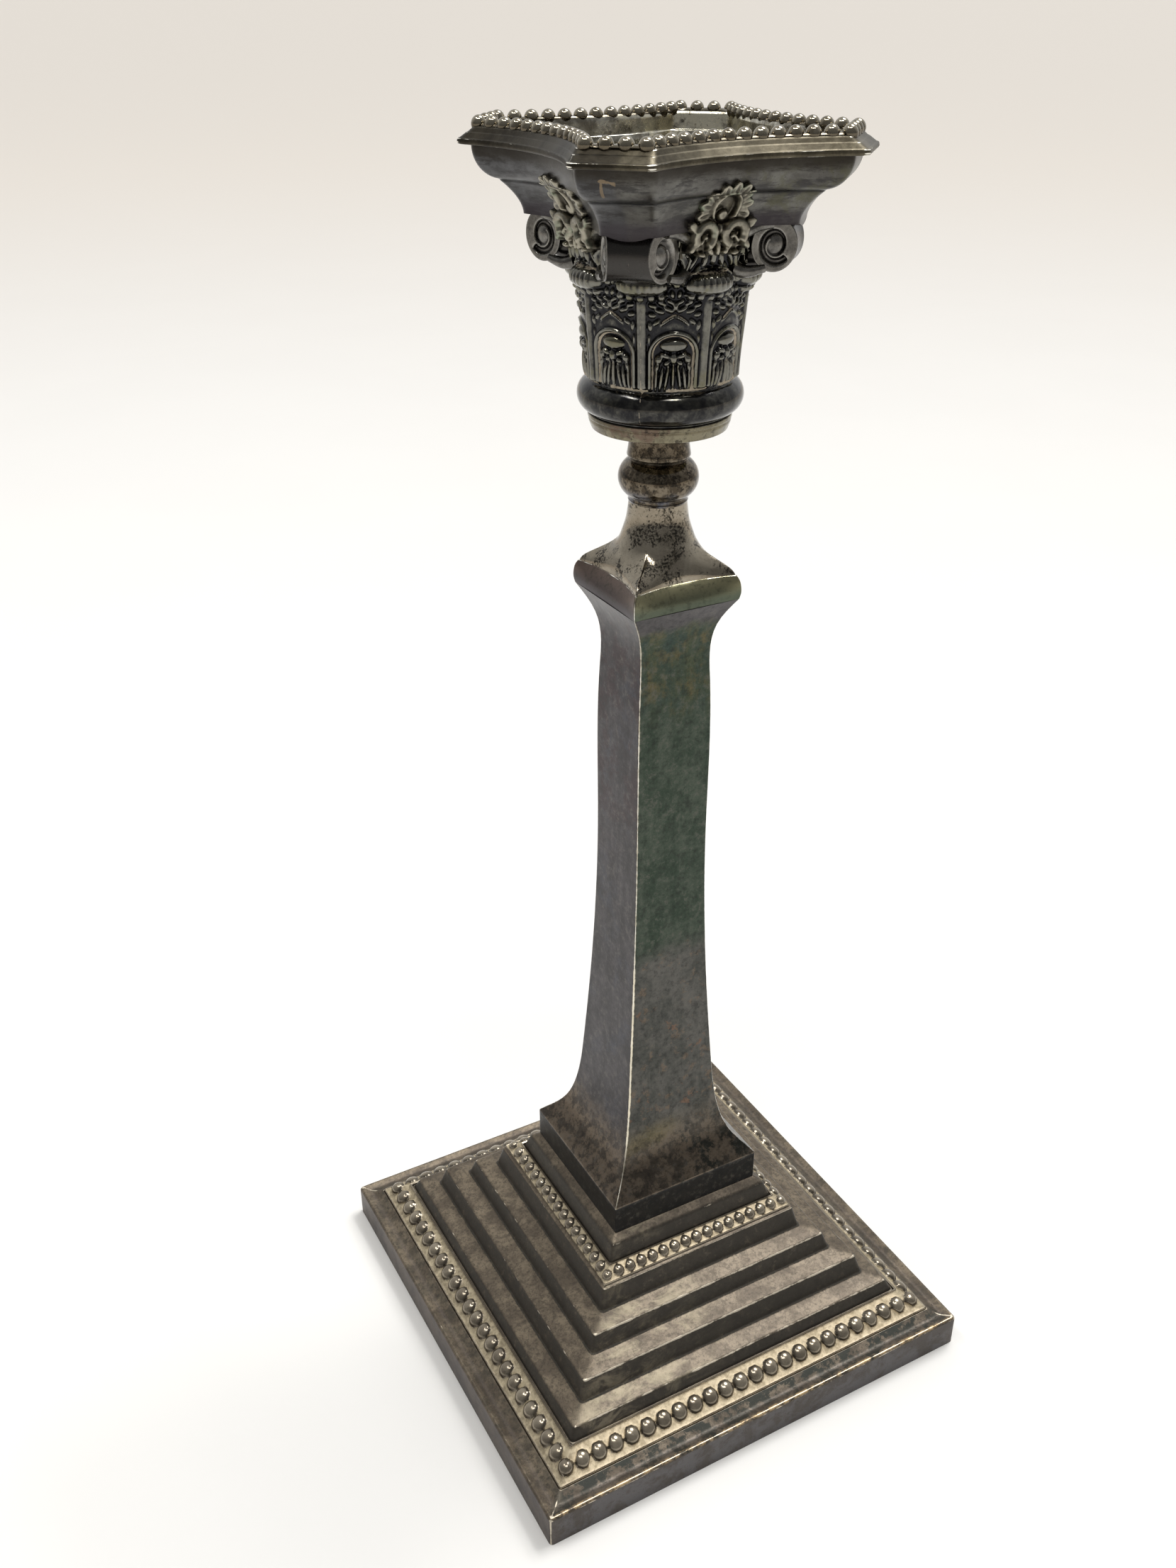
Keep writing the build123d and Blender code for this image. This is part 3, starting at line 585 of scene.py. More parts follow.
def column_film():
    """Violet grey, with plum patches high up, on the sides that face -X and +Y; on the others tan over dark
    green over spotted grey. The foot is brown, the plinth nearly black, and a cream line runs down the
    front corner."""
    finish = Finish("column_silver")
    x, y, z = finish.axis("X"), finish.axis("Y"), finish.axis("Z")
    green_side = finish.step(x - y, -0.0004, 0.0004)
    mottle = finish.clouds(9, 8, 0.7, 0.25)
    fine = finish.clouds(1.6, 7, 0.75)
    streak = finish.clouds(3.0, 5, 0.65, 0.0, finish.stretched((1.0, 1.0, 0.12)))
    cloud = finish.step(mottle * 0.6 + streak * 0.4, 0.40, 0.60)
    violet = finish.blend(cloud, (0.060, 0.055, 0.059), (0.033, 0.030, 0.032))
    blue = finish.step(finish.clouds(11, 6, 0.66, 0.3), 0.50, 0.66)
    violet = finish.blend(blue * 0.6, violet, (0.050, 0.053, 0.068))
    plum = finish.step(finish.clouds(6, 7, 0.72, 0.2), 0.47, 0.58) * finish.step(z, 0.125, 0.150)
    violet = finish.blend(plum * 0.7, violet, (0.042, 0.026, 0.028))
    height = z + 0.016 * (finish.clouds(14, 6, 0.65) - 0.5)
    top = finish.blend(cloud, (0.060, 0.072, 0.045), (0.040, 0.058, 0.048))
    tan = finish.step(finish.clouds(5.5, 7, 0.70) + 0.35 * (0.5 - streak), 0.46, 0.68)
    top = finish.blend(tan * 0.7, top, (0.125, 0.100, 0.050))
    green = finish.blend(cloud, (0.036, 0.052, 0.038), (0.062, 0.078, 0.060))
    grey = finish.blend(cloud, (0.105, 0.102, 0.094), (0.062, 0.064, 0.058))
    brown_spots = finish.step(finish.clouds(3.0, 7, 0.74), 0.55, 0.62)
    grey = finish.blend(brown_spots * 0.55, grey, (0.165, 0.120, 0.085))
    patches = finish.step(finish.clouds(7, 6, 0.70, 0.1), 0.62, 0.66)
    grey = finish.blend(patches * 0.7, grey, (0.170, 0.105, 0.072))
    slant = z - 0.15 * x
    stain = finish.step(slant + 0.010 * mottle, 0.0635, 0.0655) * (1 - finish.step(slant, 0.0615, 0.066))
    stain = stain * (1 - finish.step(x, -0.004, 0.004))
    grey = finish.blend(stain * 0.75, grey, (0.135, 0.118, 0.058))
    side = finish.fade(height, 0.107, 0.114, grey, green)
    side = finish.fade(height, 0.166, 0.176, side, top)
    side = finish.fade(height, 0.187, 0.191, side, (0.075, 0.070, 0.072))
    colour = finish.blend(green_side, violet, side)
    foot = 1 - finish.step(height, 0.054, 0.068)
    rust = finish.fade(finish.clouds(3, 7, 0.74), 0.44, 0.56, (0.165, 0.130, 0.096), (0.070, 0.058, 0.046))
    soot = finish.step(finish.clouds(6, 7, 0.72) + 8 * (x - 0.005), 0.52, 0.60)
    rust = finish.blend(soot * 0.85, rust, (0.022, 0.026, 0.022))
    colour = finish.blend(foot * 0.9, colour, rust)
    plinth = 1 - finish.step(z, 0.0493, 0.0498)
    colour = finish.blend(plinth * 0.95, colour, (0.021, 0.022, 0.023))
    colour = finish.fade(fine, 0.50, 0.68, colour, (0.130, 0.122, 0.108), 0.5)
    colour = finish.fade(fine, 0.52, 0.34, colour, (0.022, 0.022, 0.021), 0.55)
    thick = finish.step(z, 0.052, 0.066) * (1 - finish.step(z, 0.100, 0.118))
    arris = abs(x - y) - 0.00014 * thick - 0.0008 * (fine - 0.5)
    arris = (1 - finish.step(arris, 0.00006, 0.00028)) * (1 - finish.step(x + y, -0.001, 0.001))
    arris = arris * (1 - plinth)
    colour = finish.blend(arris * (0.50 + 0.4 * thick), colour, (0.80, 0.73, 0.57))
    return aged(finish, colour, (0.86, 0.84, 0.78), rub=0.12, pits=0.45, gloss=0.27)


shaft_finish = column_film()
for left, node in ((True, "column_left_half"), (False, "column_right_half")):
    rings, marks = column_skin(left)
    piece = surface(node.replace("half", "bent_sheet"), [(rings, False)], marks)
    piece.data.materials.append(shaft_finish)
    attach(piece, "stick")
    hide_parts(node)


# ---------------------------------------------------------------- cap and shoulder
# A square cap with slightly hollow sides that sweeps up into a round neck, stamped in one. It is glossy and
# speckled black where the plate has lifted, and rubbed bright on its upper edges.

cap_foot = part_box("column_cap")[0].z / MM
cap_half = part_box("column_cap")[1].x / MM
neck_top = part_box("column_cap")[1].z / MM
CAP_TOP = cap_foot + 4.9
ROUND_ABOVE = 6.5
NECK_BORE = 3.2


def cap_rings():
    """Rings of the cap and marks. A ring is (1 - w) times the hollow-sided square plus w times the circle
    of the same reach, with w = t^2 (3 - 2t), where t runs from 0 on the band to 1 at the given height above
    it. The sides grow hollower up the band."""
    band = flowing((
        (cap_half - 0.25, cap_foot), (cap_half, cap_foot + 1.2), (cap_half - 0.02, cap_foot + 2.6),
        (cap_half - 0.3, cap_foot + 4.0), (cap_half - 0.75, CAP_TOP),
    ), 12)
    sweep = flowing((
        (cap_half - 0.95, CAP_TOP + 0.06), (11.1, 199.6), (10.5, 200.6), (9.55, 201.9), (8.65, 203.1),
        (7.8, 204.5), (7.0, 206.5), (6.25, 209.0), (5.9, 211.3), (5.75, neck_top),
    ), 56)
    outside = np.vstack([[(cap_half - 1.5, cap_foot)], band, sweep])
    inside = np.array([
        (NECK_BORE, neck_top), (NECK_BORE, 209.0), (6.5, 203.2), (8.5, 198.0), (cap_half - 2.0, cap_foot),
    ])
    profile = np.vstack([outside, inside])
    share = np.clip((profile[:, 1] - CAP_TOP) / ROUND_ABOVE, 0, 1)
    share = (share ** 2 * (3 - 2 * share))[:, None, None]
    bow = np.interp(profile[:, 1], (cap_foot, cap_foot + 2.0, CAP_TOP, 200.5), (0.15, 0.55, 1.75, 1.6))
    along, steps = 21, 9
    square = square_plan(profile[:, 0], bow * profile[:, 0] / cap_half, 0.3, along, steps)
    angle = np.arctan2(square[..., 1], square[..., 0])
    circle = profile[:, 0][:, None, None] * np.stack([np.cos(angle), np.sin(angle)], -1)
    plan = (1 - share) * square + share * circle
    row = np.arange(len(profile))[:, None]
    outer = row < len(outside)
    on_band = (profile[:, 1] < CAP_TOP + 0.1)[:, None] * outer
    arris = np.exp(-((profile[:, 1] - CAP_TOP) / 0.12) ** 2)[:, None] * outer
    wear = np.clip(corner_marks(along, steps)[None] ** 2 * on_band + 0.85 * arris, 0, 1)
    rings = add_height(plan, profile[:, 1])
    return rings, {"wear": wear}


rings, marks = cap_rings()
cap = surface("cap_and_shoulder", [(rings, True)], marks, 30)


def crackle(finish, size_mm, where, low=0.56, high=0.60):
    """Sharp black flakes where the plate has lifted: 0 to 1, crowded together where the second map is
    high."""
    return finish.step(finish.clouds(size_mm, 8, 0.82) + 0.12 * where, low, high)


def cap_film():
    """Taupe and glossy above, freckled black; on the band, gold green fading to dark green where it faces
    -Y and +X, and plum on the other two sides. Both grow paler towards the top of the band as a painted
    highlight."""
    finish = Finish("cap_silver")
    x, y, z = finish.axis("X"), finish.axis("Y"), finish.axis("Z")
    drift = finish.clouds(7, 6, 0.66, 0.3)
    taupe = finish.fade(drift, 0.38, 0.62, (0.350, 0.312, 0.248), (0.245, 0.215, 0.168))
    zone = finish.step(finish.clouds(5.0, 4, 0.6, 0.4), 0.40, 0.56)
    flakes = crackle(finish, 0.5, zone, 0.605, 0.625)
    taupe = finish.blend(flakes * 0.95, taupe, (0.030, 0.027, 0.022))
    # Painted highlight: the band's colours grow paler towards its top.
    rise = finish.step(z + 0.0012 * drift, 0.1948, 0.1988)
    green = finish.blend(rise, (0.090, 0.105, 0.076), (0.24, 0.228, 0.140))
    plum = finish.blend(rise, (0.060, 0.052, 0.056), (0.130, 0.098, 0.084))
    band = finish.fade(x - y, -0.0006, 0.0006, plum, green)
    band = finish.fade(finish.clouds(1.4, 7, 0.75), 0.48, 0.66, band, (0.04, 0.042, 0.032), 0.5)
    above = finish.step(z, 0.1984, 0.1987)
    colour = finish.blend(above, band, taupe)
    return aged(finish, colour, (0.9, 0.88, 0.8), rub=0.15, pits=0.3, gloss=0.27 - 0.22 * above, grit=0.9)


cap_silver = cap_film()
cap.data.materials.append(cap_silver)
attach(cap, "stick")
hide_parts("column_cap")


# ---------------------------------------------------------------- knop
# Solid, turned on a lathe and drilled for the tie rod: a round knop between two fillets, and a collar above
# it.

knop_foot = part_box("knop")[0].z / MM
knop_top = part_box("knop")[1].z / MM
KNOP_R = 7.88
ROD_HOLE = 2.3


def turned(profile, places=96):
    """Rings of a solid of revolution: the point at radius r goes to (r cos a, r sin a) at its height."""
    radius, height = np.asarray(profile, float).T
    angle = np.linspace(0, 2 * math.pi, places, endpoint=False)
    circle = np.stack([np.cos(angle), np.sin(angle)], -1)
    return add_height(radius[:, None, None] * circle[None], height)


def arc(middle, radii, start, stop, count):
    """Points of an elliptical arc between two angles in degrees."""
    angle = np.radians(np.linspace(start, stop, count))
    return np.stack([middle[0] + radii[0] * np.cos(angle), middle[1] + radii[1] * np.sin(angle)], -1)


ball = arc((KNOP_R - 4.3, 217.3), (4.3, 4.2), -58, 60, 30)
collar = flowing(((6.1, 222.4), (5.95, 223.4), (5.75, 225.2), (5.65, knop_top)), 14)
knop_profile = np.vstack([
    [(ROD_HOLE, knop_foot), (5.75, knop_foot), (5.9, knop_foot + 0.35), (5.75, knop_foot + 0.8)], ball,
    [(5.62, 221.3), (5.95, 221.4), (6.15, 221.65), (6.2, 221.9)], collar, [(ROD_HOLE, knop_top)],
])
knop = surface("turned_knop", [(turned(knop_profile), True)])


def knop_film():
    """Glossy dark brown and taupe in small flakes, with patches of blue on the under side."""
    finish = Finish("knop_silver")
    z = finish.axis("Z")
    flakes = finish.step(finish.clouds(1.6, 8, 0.82), 0.45, 0.53)
    colour = finish.blend(flakes, (0.165, 0.138, 0.102), (0.065, 0.052, 0.037))
    # Patches of blue on the lower part of the knop.
    blue_underside = (1 - finish.step(z, 0.2145, 0.2165)) * finish.step(finish.clouds(4, 5, 0.6), 0.42, 0.58)
    colour = finish.blend(blue_underside * 0.7, colour, (0.085, 0.095, 0.125))
    colour = finish.blend(crackle(finish, 1.0, flakes, 0.62, 0.65) * 0.9, colour, (0.025, 0.022, 0.018))
    return aged(finish, colour, rub=0.0, pits=0.3, gloss=0.04, grit=0.5)


knop_silver = knop_film()
knop.data.materials.append(knop_silver)
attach(knop, "stick")
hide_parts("knop")


# ---------------------------------------------------------------- foot of the capital
# A turned disc that the capital is soldered to. Its rim flares a little and has a fine line round the top.

disc_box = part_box("capital_foot")
DISC_FOOT, DISC_TOP, DISC_R = disc_box[0].z / MM, disc_box[1].z / MM, disc_box[1].x / MM


def turned_piece(name, outline, soft, joined, grime=0.0, upright=0.0):
    """A piece turned to the softened outline: worn on its outside edges and dirty in its inside corners."""
    profile, stand = softened(outline, soft)
    rings = turned(profile)
    all_round = np.zeros(rings.shape[:2])
    return surface(name, [(rings, joined)], {
        "wear": np.clip(stand, 0, 1)[:, None] + all_round,
        "grime": np.clip(-stand, 0, 1)[:, None] * grime + all_round,
        "upright": all_round + upright,
    })


disc = turned_piece("foot_disc", [
    (ROD_HOLE, DISC_FOOT), (DISC_R - 0.7, DISC_FOOT), (DISC_R - 0.15, DISC_FOOT + 1.5),
    (DISC_R - 0.2, DISC_FOOT + 2.1), (DISC_R, DISC_FOOT + 2.25), (DISC_R, DISC_TOP), (ROD_HOLE, DISC_TOP),
], 0.18, joined=True, grime=0.5)


def disc_film():
    """Umber, with russet stains towards -X and yellow green ones towards +X."""
    finish = Finish("disc_silver")
    drift = finish.clouds(5, 7, 0.7, 0.3)
    colour = finish.fade(drift, 0.40, 0.60, (0.105, 0.090, 0.062), (0.200, 0.180, 0.125))
    stain = finish.step(finish.clouds(7, 5, 0.65) + 9 * finish.axis("X"), 0.56, 0.66)
    colour = finish.blend(stain * 0.7, colour, (0.19, 0.20, 0.085))
    russet = finish.step(finish.clouds(6, 5, 0.65) - 9 * finish.axis("X"), 0.58, 0.68)
    colour = finish.blend(russet * 0.7, colour, (0.125, 0.082, 0.065))
    colour = finish.blend(crackle(finish, 1.6, drift, 0.60, 0.66) * 0.8, colour, (0.035, 0.030, 0.024))
    return aged(finish, colour, (0.55, 0.52, 0.45), (0.06, 0.05, 0.04), rub=0.05, gloss=0.12)


disc_silver = disc_film()
disc.data.materials.append(disc_silver)
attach(disc, "stick")
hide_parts("capital_foot")


# ---------------------------------------------------------------- bell of the capital
# Two stamped halves soldered up the front and back corners. Below is a plain round torus, then eight arched
# leaves between flat ribs, eight leaf tips that curl outwards, and a bud between each two of them.

bell_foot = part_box("capital_left_half")[0].z / MM
bell_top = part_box("capital_left_half")[1].z / MM
TORUS_MID, TORUS_SIZE = (12.45, 233.65), (3.29, 3.25)
DRUM_FOOT = 236.9
ARCH_TOP = 247.4
TIP_Z = 255.5
PANEL = 14.4
LEAVES = 8


def dome(x, y, middle, size, lean=0.0):
    """Height of an ellipsoid of height 1 with its middle, half-sizes and lean in degrees: sqrt(1 - u^2 -
    v^2)."""
    c, s = math.cos(math.radians(lean)), math.sin(math.radians(lean))
    u = ((x - middle[0]) * c + (y - middle[1]) * s) / size[0]
    v = ((y - middle[1]) * c - (x - middle[0]) * s) / size[1]
    return np.sqrt(np.clip(1 - u ** 2 - v ** 2, 0, 1))


def leaf_relief(turn, z):
    """How far the ornament stands out of the drum, in millimetres, at an angle and a height, and where it is
    chalky.

    x is the distance round the drum from the middle of the nearest arch, and side is its size, so that every
    panel is the same and each is its own mirror image. Each part is a ridge or a dome, and the highest one
    shows. A part is listed as its middle, its half-sizes, its lean in degrees and its rise."""
    sector = 2 * math.pi / LEAVES
    x = (np.mod(turn, sector) - sector / 2) * PANEL
    side = np.abs(x)
    border = sector / 2 * PANEL - side
    z = z + 0 * x
    foot = np.clip((z - DRUM_FOOT) / 0.7, 0, 1)
    spring = ARCH_TOP - 3.9
    reach = np.where(z > spring, np.hypot(side * 0.93, z - spring), side * 0.93)
    relief = 0.35 * (reach > 3.9) * foot
    relief = np.maximum(relief, 0.95 * ridge(reach - 3.95, 0.6) ** 0.7 * foot)
    rib = np.where(z < 252.5, 1.05, 1.05 + 0.5 * (z - 252.5))
    relief = np.maximum(relief, 1.1 * np.sqrt(np.clip(1 - (border / rib) ** 2, 0, 1)) * foot * (z < 254.5))
    lobes = (
        ((0, 245.2), (2.5, 1.25), 0, 1.0), ((0, 243.0), (0.75, 1.15), 0, 1.15),
        ((1.45, 243.5), (1.05, 0.6), 24, 1.05), ((2.6, 242.8), (0.75, 0.85), 20, 0.95),
        ((1.2, 242.2), (0.7, 0.55), -40, 0.9), ((2.9, 241.4), (0.45, 0.9), 12, 0.8),
        ((0, 239.7), (0.34, 3.2), 0, 0.95), ((1.15, 239.6), (0.34, 2.7), 9, 0.75),
        ((2.15, 239.3), (0.40, 2.3), 7, 0.8), ((3.05, 239.2), (0.34, 2.3), 3, 0.65),
        ((0.0, 252.1), (0.6, 0.9), 0, 1.1), ((1.15, 251.6), (1.15, 0.48), 26, 1.1),
        ((2.6, 251.3), (1.05, 0.50), 18, 1.05), ((3.9, 250.6), (0.85, 0.55), 12, 1.0),
        ((0.85, 252.9), (0.95, 0.45), 32, 1.0), ((2.3, 252.7), (1.1, 0.46), 24, 1.05),
        ((3.8, 252.2), (0.9, 0.5), 14, 1.0), ((0.6, 254.1), (0.45, 0.8), -14, 1.0),
        ((1.8, 254.2), (0.9, 0.42), 30, 1.0), ((3.1, 249.3), (0.9, 0.45), -38, 0.9),
        ((4.2, 248.6), (0.5, 1.0), -10, 0.9), ((4.35, 246.2), (0.4, 1.3), 0, 0.7),
    )
    for middle, size, lean, rise in lobes:
        relief = np.maximum(relief, rise * dome(side, z, middle, size, lean))
    brow = z - (250.4 - 0.47 * side ** 1.35)
    relief = np.maximum(relief, 1.1 * ridge(brow, 0.5) * np.clip((2.9 - side) / 0.8, 0, 1))
    t = np.clip((z - 255.4) / 4.6, 0, 1)
    leaf_width = (0.3 + 1.75 * t ** 0.8) * np.clip((261.6 - z) / 1.6, 0, 1) ** 0.5
    inside = np.clip(1 - side / np.maximum(leaf_width, 0.05), 0, 1) * (z > 255.4)
    leaf = np.where(inside > 0, 1.15 + 0.45 * ridge(inside - 0.1, 0.3), 0)
    eye = dome(x, z, (0, 258.4), (0.62, 1.5))
    relief = np.maximum(relief, leaf - 1.0 * (eye > 0) + 1.2 * dome(x, z, (0, 258.2), (0.28, 0.85)))
    for middle, size, lean, rise in (
        ((2.4, 259.6), (0.42, 1.9), -24, 1.3), ((3.3, 261.2), (1.2, 0.5), 36, 1.2),
        ((1.9, 262.2), (0.5, 1.3), 16, 1.1), ((4.2, 259.7), (0.55, 1.6), -10, 1.25),
        ((5.65, 260.2), (0.6, 1.7), 0, 1.25), ((3.1, 258.2), (0.5, 1.2), -30, 1.1),
        ((4.9, 262.4), (0.9, 0.6), 20, 1.1), ((0, 262.8), (0.7, 1.1), 0, 1.1),
    ):
        relief = np.maximum(relief, rise * dome(side, z, middle, size, lean))
    u = border / 4.5
    v = np.where(z > TIP_Z, (z - TIP_Z) / 2.4, (TIP_Z - z) / 1.9)
    tip = np.clip(1 - np.abs(u) ** 2.6 - v ** 2, 0, 1) ** 0.5
    groove = 0.5 + 0.5 * np.cos(border * 2 * math.pi / 0.95)
    groove = groove * np.clip((z - TIP_Z + 1.2) / 1.5, 0, 1) * (tip > 0.3)
    relief = np.maximum(relief, 3.0 * tip - 0.22 * groove)
    under = np.zeros_like(relief)
    for spot in (0.0, 1.75, 3.3):
        under = np.maximum(under, dome(border, z, (spot, 253.5 + 0.1 * spot), (0.8, 0.9)))
    relief = np.maximum(relief, 1.9 * under)
    hood = np.sqrt((border / 4.7) ** 2 + (np.clip(z - TIP_Z, 0, 9) / 2.9) ** 2)
    relief = np.maximum(relief, 1.5 * ridge(hood - 1.0, 0.09) * (z > TIP_Z) * (side > leaf_width))
    arch_line = ridge(reach - 3.45, 0.36) * foot * (z < ARCH_TOP + 0.3)
    brow_line = ridge(brow - 0.3, 0.3) * (side < 2.2)
    stem_line = ridge(x, 0.35) * (z < 242.0) + ridge(side - 0.62, 0.2) * (z < 241.5) * 0.6
    above_tip = ridge(v - 0.9, 0.35) * (z > TIP_Z) * (np.abs(u) < 0.85)
    chalk = np.clip(np.maximum.reduce([arch_line, brow_line, 0.75 * stem_line * foot, 0.8 * above_tip]), 0, 1)
    return relief, chalk


def bell_skin(left):
    """Rings and marks of one half of the bell: the torus and the drum with its ornament, and a plain
    inside."""
    torus = arc(TORUS_MID, TORUS_SIZE, -72, 66, 26)
    drum = flowing(((13.75, DRUM_FOOT), (14.0, 242.0), (14.55, 248.0), (15.4, 257.0), (17.0, bell_top)), 150)
    profile = np.vstack([[(13.4, bell_foot), (13.5, bell_foot + 0.35)], torus, drum])
    start = math.radians(-135 if not left else 45)
    turn = start + np.linspace(0, math.pi, 321)[None]
    z = profile[:, 1][:, None]
    lift, chalk = leaf_relief(turn, z)
    lift = averaged(lift * (z > DRUM_FOOT + 0.05), 1)
    radius = profile[:, 0][:, None] + lift
    outside = np.stack([radius * np.cos(turn), radius * np.sin(turn)], -1)
    back = turn[:, ::-16]
    hollow = np.maximum(profile[:, 0] - SHEET, 12.6)[:, None]
    inside = np.stack([hollow * np.cos(back), hollow * np.sin(back)], -1)
    rings = add_height(np.concatenate([outside, inside], axis=1), profile[:, 1])
    dip = averaged(lift, 16) - lift
    plain = np.zeros(inside.shape[:2])
    seam = np.minimum(turn - start, start + math.pi - turn) * 15
    line = np.exp(-(seam / 0.22) ** 2) * (z > bell_foot) * (z < 250)
    floor = np.exp(-((z - DRUM_FOOT - 0.25) / 0.4) ** 2) * (np.sin(turn * 8) < 0.6)
    grime = np.clip(0.80 * chalk * (z > DRUM_FOOT) + 0.56 * line + 0.80 * floor, 0, 1)
    raised = np.where(z > DRUM_FOOT + 0.1, np.clip(0.45 - dip / 0.55, 0, 1), 0.40)
    marks = {"wear": np.concatenate([np.clip(-dip / 0.6, 0, 1) * 0.7, plain], 1),
             "grime": np.concatenate([grime, plain], 1),
             "upright": np.concatenate([raised, plain], 1)}
    return rings, marks


def relief_film(name, deep, film, glaze, chalk=(0.48, 0.41, 0.31), gloss=0.16):
    """Grey film on the raised work, nearly black in the hollows, with a coloured glaze in patches.

    The upright mark, 0 in a hollow and 1 on top of the relief, mixes the two."""
    finish = Finish(name)
    patchy = finish.clouds(2.6, 7, 0.75, 0.3)
    high = finish.step(finish.mark("upright") + 0.7 * (patchy - 0.5), 0.30, 0.72)
    colour = finish.blend(high, deep, film)
    stain = finish.step(finish.clouds(5, 6, 0.68, 0.5), 0.50, 0.62)
    colour = finish.blend(stain * high * 0.7, colour, glaze)
    return aged(finish, colour, (0.42, 0.41, 0.38), chalk, rub=0.0, pits=0.6, gloss=gloss)


GUNMETAL = (0.020, 0.020, 0.022)
bell_silver = relief_film("bell_silver", GUNMETAL, (0.175, 0.170, 0.148), (0.130, 0.122, 0.074), gloss=0.02)
for left, node in ((True, "capital_left_half"), (False, "capital_right_half")):
    rings, marks = bell_skin(left)
    piece = surface(node.replace("capital", "leaf_bell"), [(rings, False)], marks, 70)
    piece.data.materials.append(bell_silver)
    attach(piece, "stick")
    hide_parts(node)


# ---------------------------------------------------------------- corner volutes
# Four cast scrolls, one under each corner of the abacus. A ribbon rolls up into a spiral that shows on both
# faces, and a stem joins each face to the bell.

VOLUTE_MID = (21.0, 261.5)
VOLUTE_SIZE = (3.75, 4.5)
BAND_HALF = 3.6
FACE_SLOPE = 0.445
CORNER_REACH = 24.7


def spiral_relief(share, angle):
    """Depth below the face, in millimetres, at a share of the radius and an angle.

    The ribbon's middle line is at share 0.86 - 0.37 (a / 2 pi), where a is the angle wound so far, and the
    ribbon is 0.2 wide; a round boss of share 0.34 fills the middle."""
    wound = np.mod(angle + 0.75 * math.pi, 2 * math.pi) / (2 * math.pi)
    height = np.where(share > 0.86 - 0.37 * wound, 1.0, 0.0)
    for lap in range(2):
        line = 0.86 - 0.37 * (wound + lap)
        height = np.maximum(height, ridge(share - line, 0.135) ** 0.7 * (line > 0.30))
    boss = np.sqrt(np.clip(1 - (share / 0.40) ** 2, 0, 1)) * 1.1
    return 0.85 * (np.maximum(height, boss) - 1)


def volute_rings():
    """Rings from the middle of one face to the middle of the other, over the ribbon's edge.

    In the corner's own axes x runs out along the diagonal: a face point at a share of the radius is
    x = mx + share rx cos a, z = mz + share rz sin a, y = band + slope (reach - x) - depth."""
    angle = np.linspace(0, 2 * math.pi, 120, endpoint=False)[None]
    share = np.concatenate([np.linspace(0.03, 0.97, 44), [0.99, 1.0]])[:, None]
    x = VOLUTE_MID[0] + share * VOLUTE_SIZE[0] * np.cos(angle)
    z = VOLUTE_MID[1] + share * VOLUTE_SIZE[1] * np.sin(angle)
    depth = spiral_relief(share + 0 * angle, math.pi - angle + 0 * share)
    depth = averaged(depth, 1) - 0.12 * np.clip((share - 0.97) / 0.03, 0, 1)
    y = BAND_HALF + FACE_SLOPE * (CORNER_REACH - x) + depth
    across = np.cos(np.linspace(0, math.pi, 13))[1:-1][:, None]
    edge_x, edge_z, edge_y = x[-1:], z[-1:], y[-1:]
    sag = 0.35 * (1 - across ** 2)
    band_x = edge_x - sag * np.cos(angle)
    band_z = edge_z - sag * np.sin(angle)
    face = np.stack([x, y, z], -1)
    other = np.stack([x, -y, z], -1)[::-1]
    band = np.stack([band_x, across * edge_y, band_z], -1)
    rings = np.concatenate([face, band, other])
    dip = averaged(depth, 10) - depth
    raised = np.clip(0.5 - dip / 0.5, 0, 1)
    wear = np.clip(-dip / 0.5, 0, 1) * 0.7
    seam = np.exp(-(across * edge_y / 0.25) ** 2) * 0.45
    marks = {"grime": np.concatenate([0 * raised, seam, 0 * raised]),
             "wear": np.concatenate([wear, 0 * seam, wear[::-1]]),
             "upright": np.concatenate([raised, 0.25 + 0 * seam, raised[::-1]])}
    return rings, marks


def rod_rings(path, thickness, places=14):
    """Rings round a path of points, the thickness at each point being the radius of its ring.

    The ring lies in the plane square to the path, on the axes side = way x up and top = side x way."""
    path = np.asarray(path, float)
    way = np.gradient(path, axis=0)
    way /= np.linalg.norm(way, axis=1, keepdims=True)
    side = np.cross(way, (0.0, 0.0, 1.0))
    side /= np.linalg.norm(side, axis=1, keepdims=True)
    top = np.cross(side, way)
    a = np.linspace(0, 2 * math.pi, places, endpoint=False)[None, :, None]
    radius = np.asarray(thickness, float)[:, None, None]
    return path[:, None] + radius * (np.cos(a) * side[:, None] + np.sin(a) * top[:, None])


def spun(rings, degrees):
    """Rings turned about the candlestick's axis."""
    c, s = math.cos(math.radians(degrees)), math.sin(math.radians(degrees))
    x, y, z = rings[..., 0], rings[..., 1], rings[..., 2]
    return np.stack([x * c - y * s, x * s + y * c, z], -1)


def stem_rings(knots, mirror_side, thick, thin):
    """Rings of a stem that thins from one radius to another along a smooth path, on one face of the
    volute."""
    return rod_rings(flowing(knots, 20) * (1, mirror_side, 1), np.linspace(thick, thin, 20))


def tongue_rings():
    """Rings of the tongue that joins the volute to the bell, in the corner's own axes.

    x = 13.5 + 6.5 t, y = (4.6 + t) k cos a and z = 258.6 + 1.6 t + 3.9 k sin a, where k = sqrt(1 - t^8)
    rounds the end off."""
    t = np.concatenate([np.linspace(0, 0.9, 8), [0.95, 0.98, 0.995]])[:, None]
    a = np.linspace(0, 2 * math.pi, 28, endpoint=False)[None]
    k = np.sqrt(1 - t ** 8)
    x = 13.5 + 6.5 * t + 0 * a
    return np.stack([x, (4.6 + t) * k * np.cos(a), 258.6 + 1.6 * t + 3.9 * k * np.sin(a)], -1)


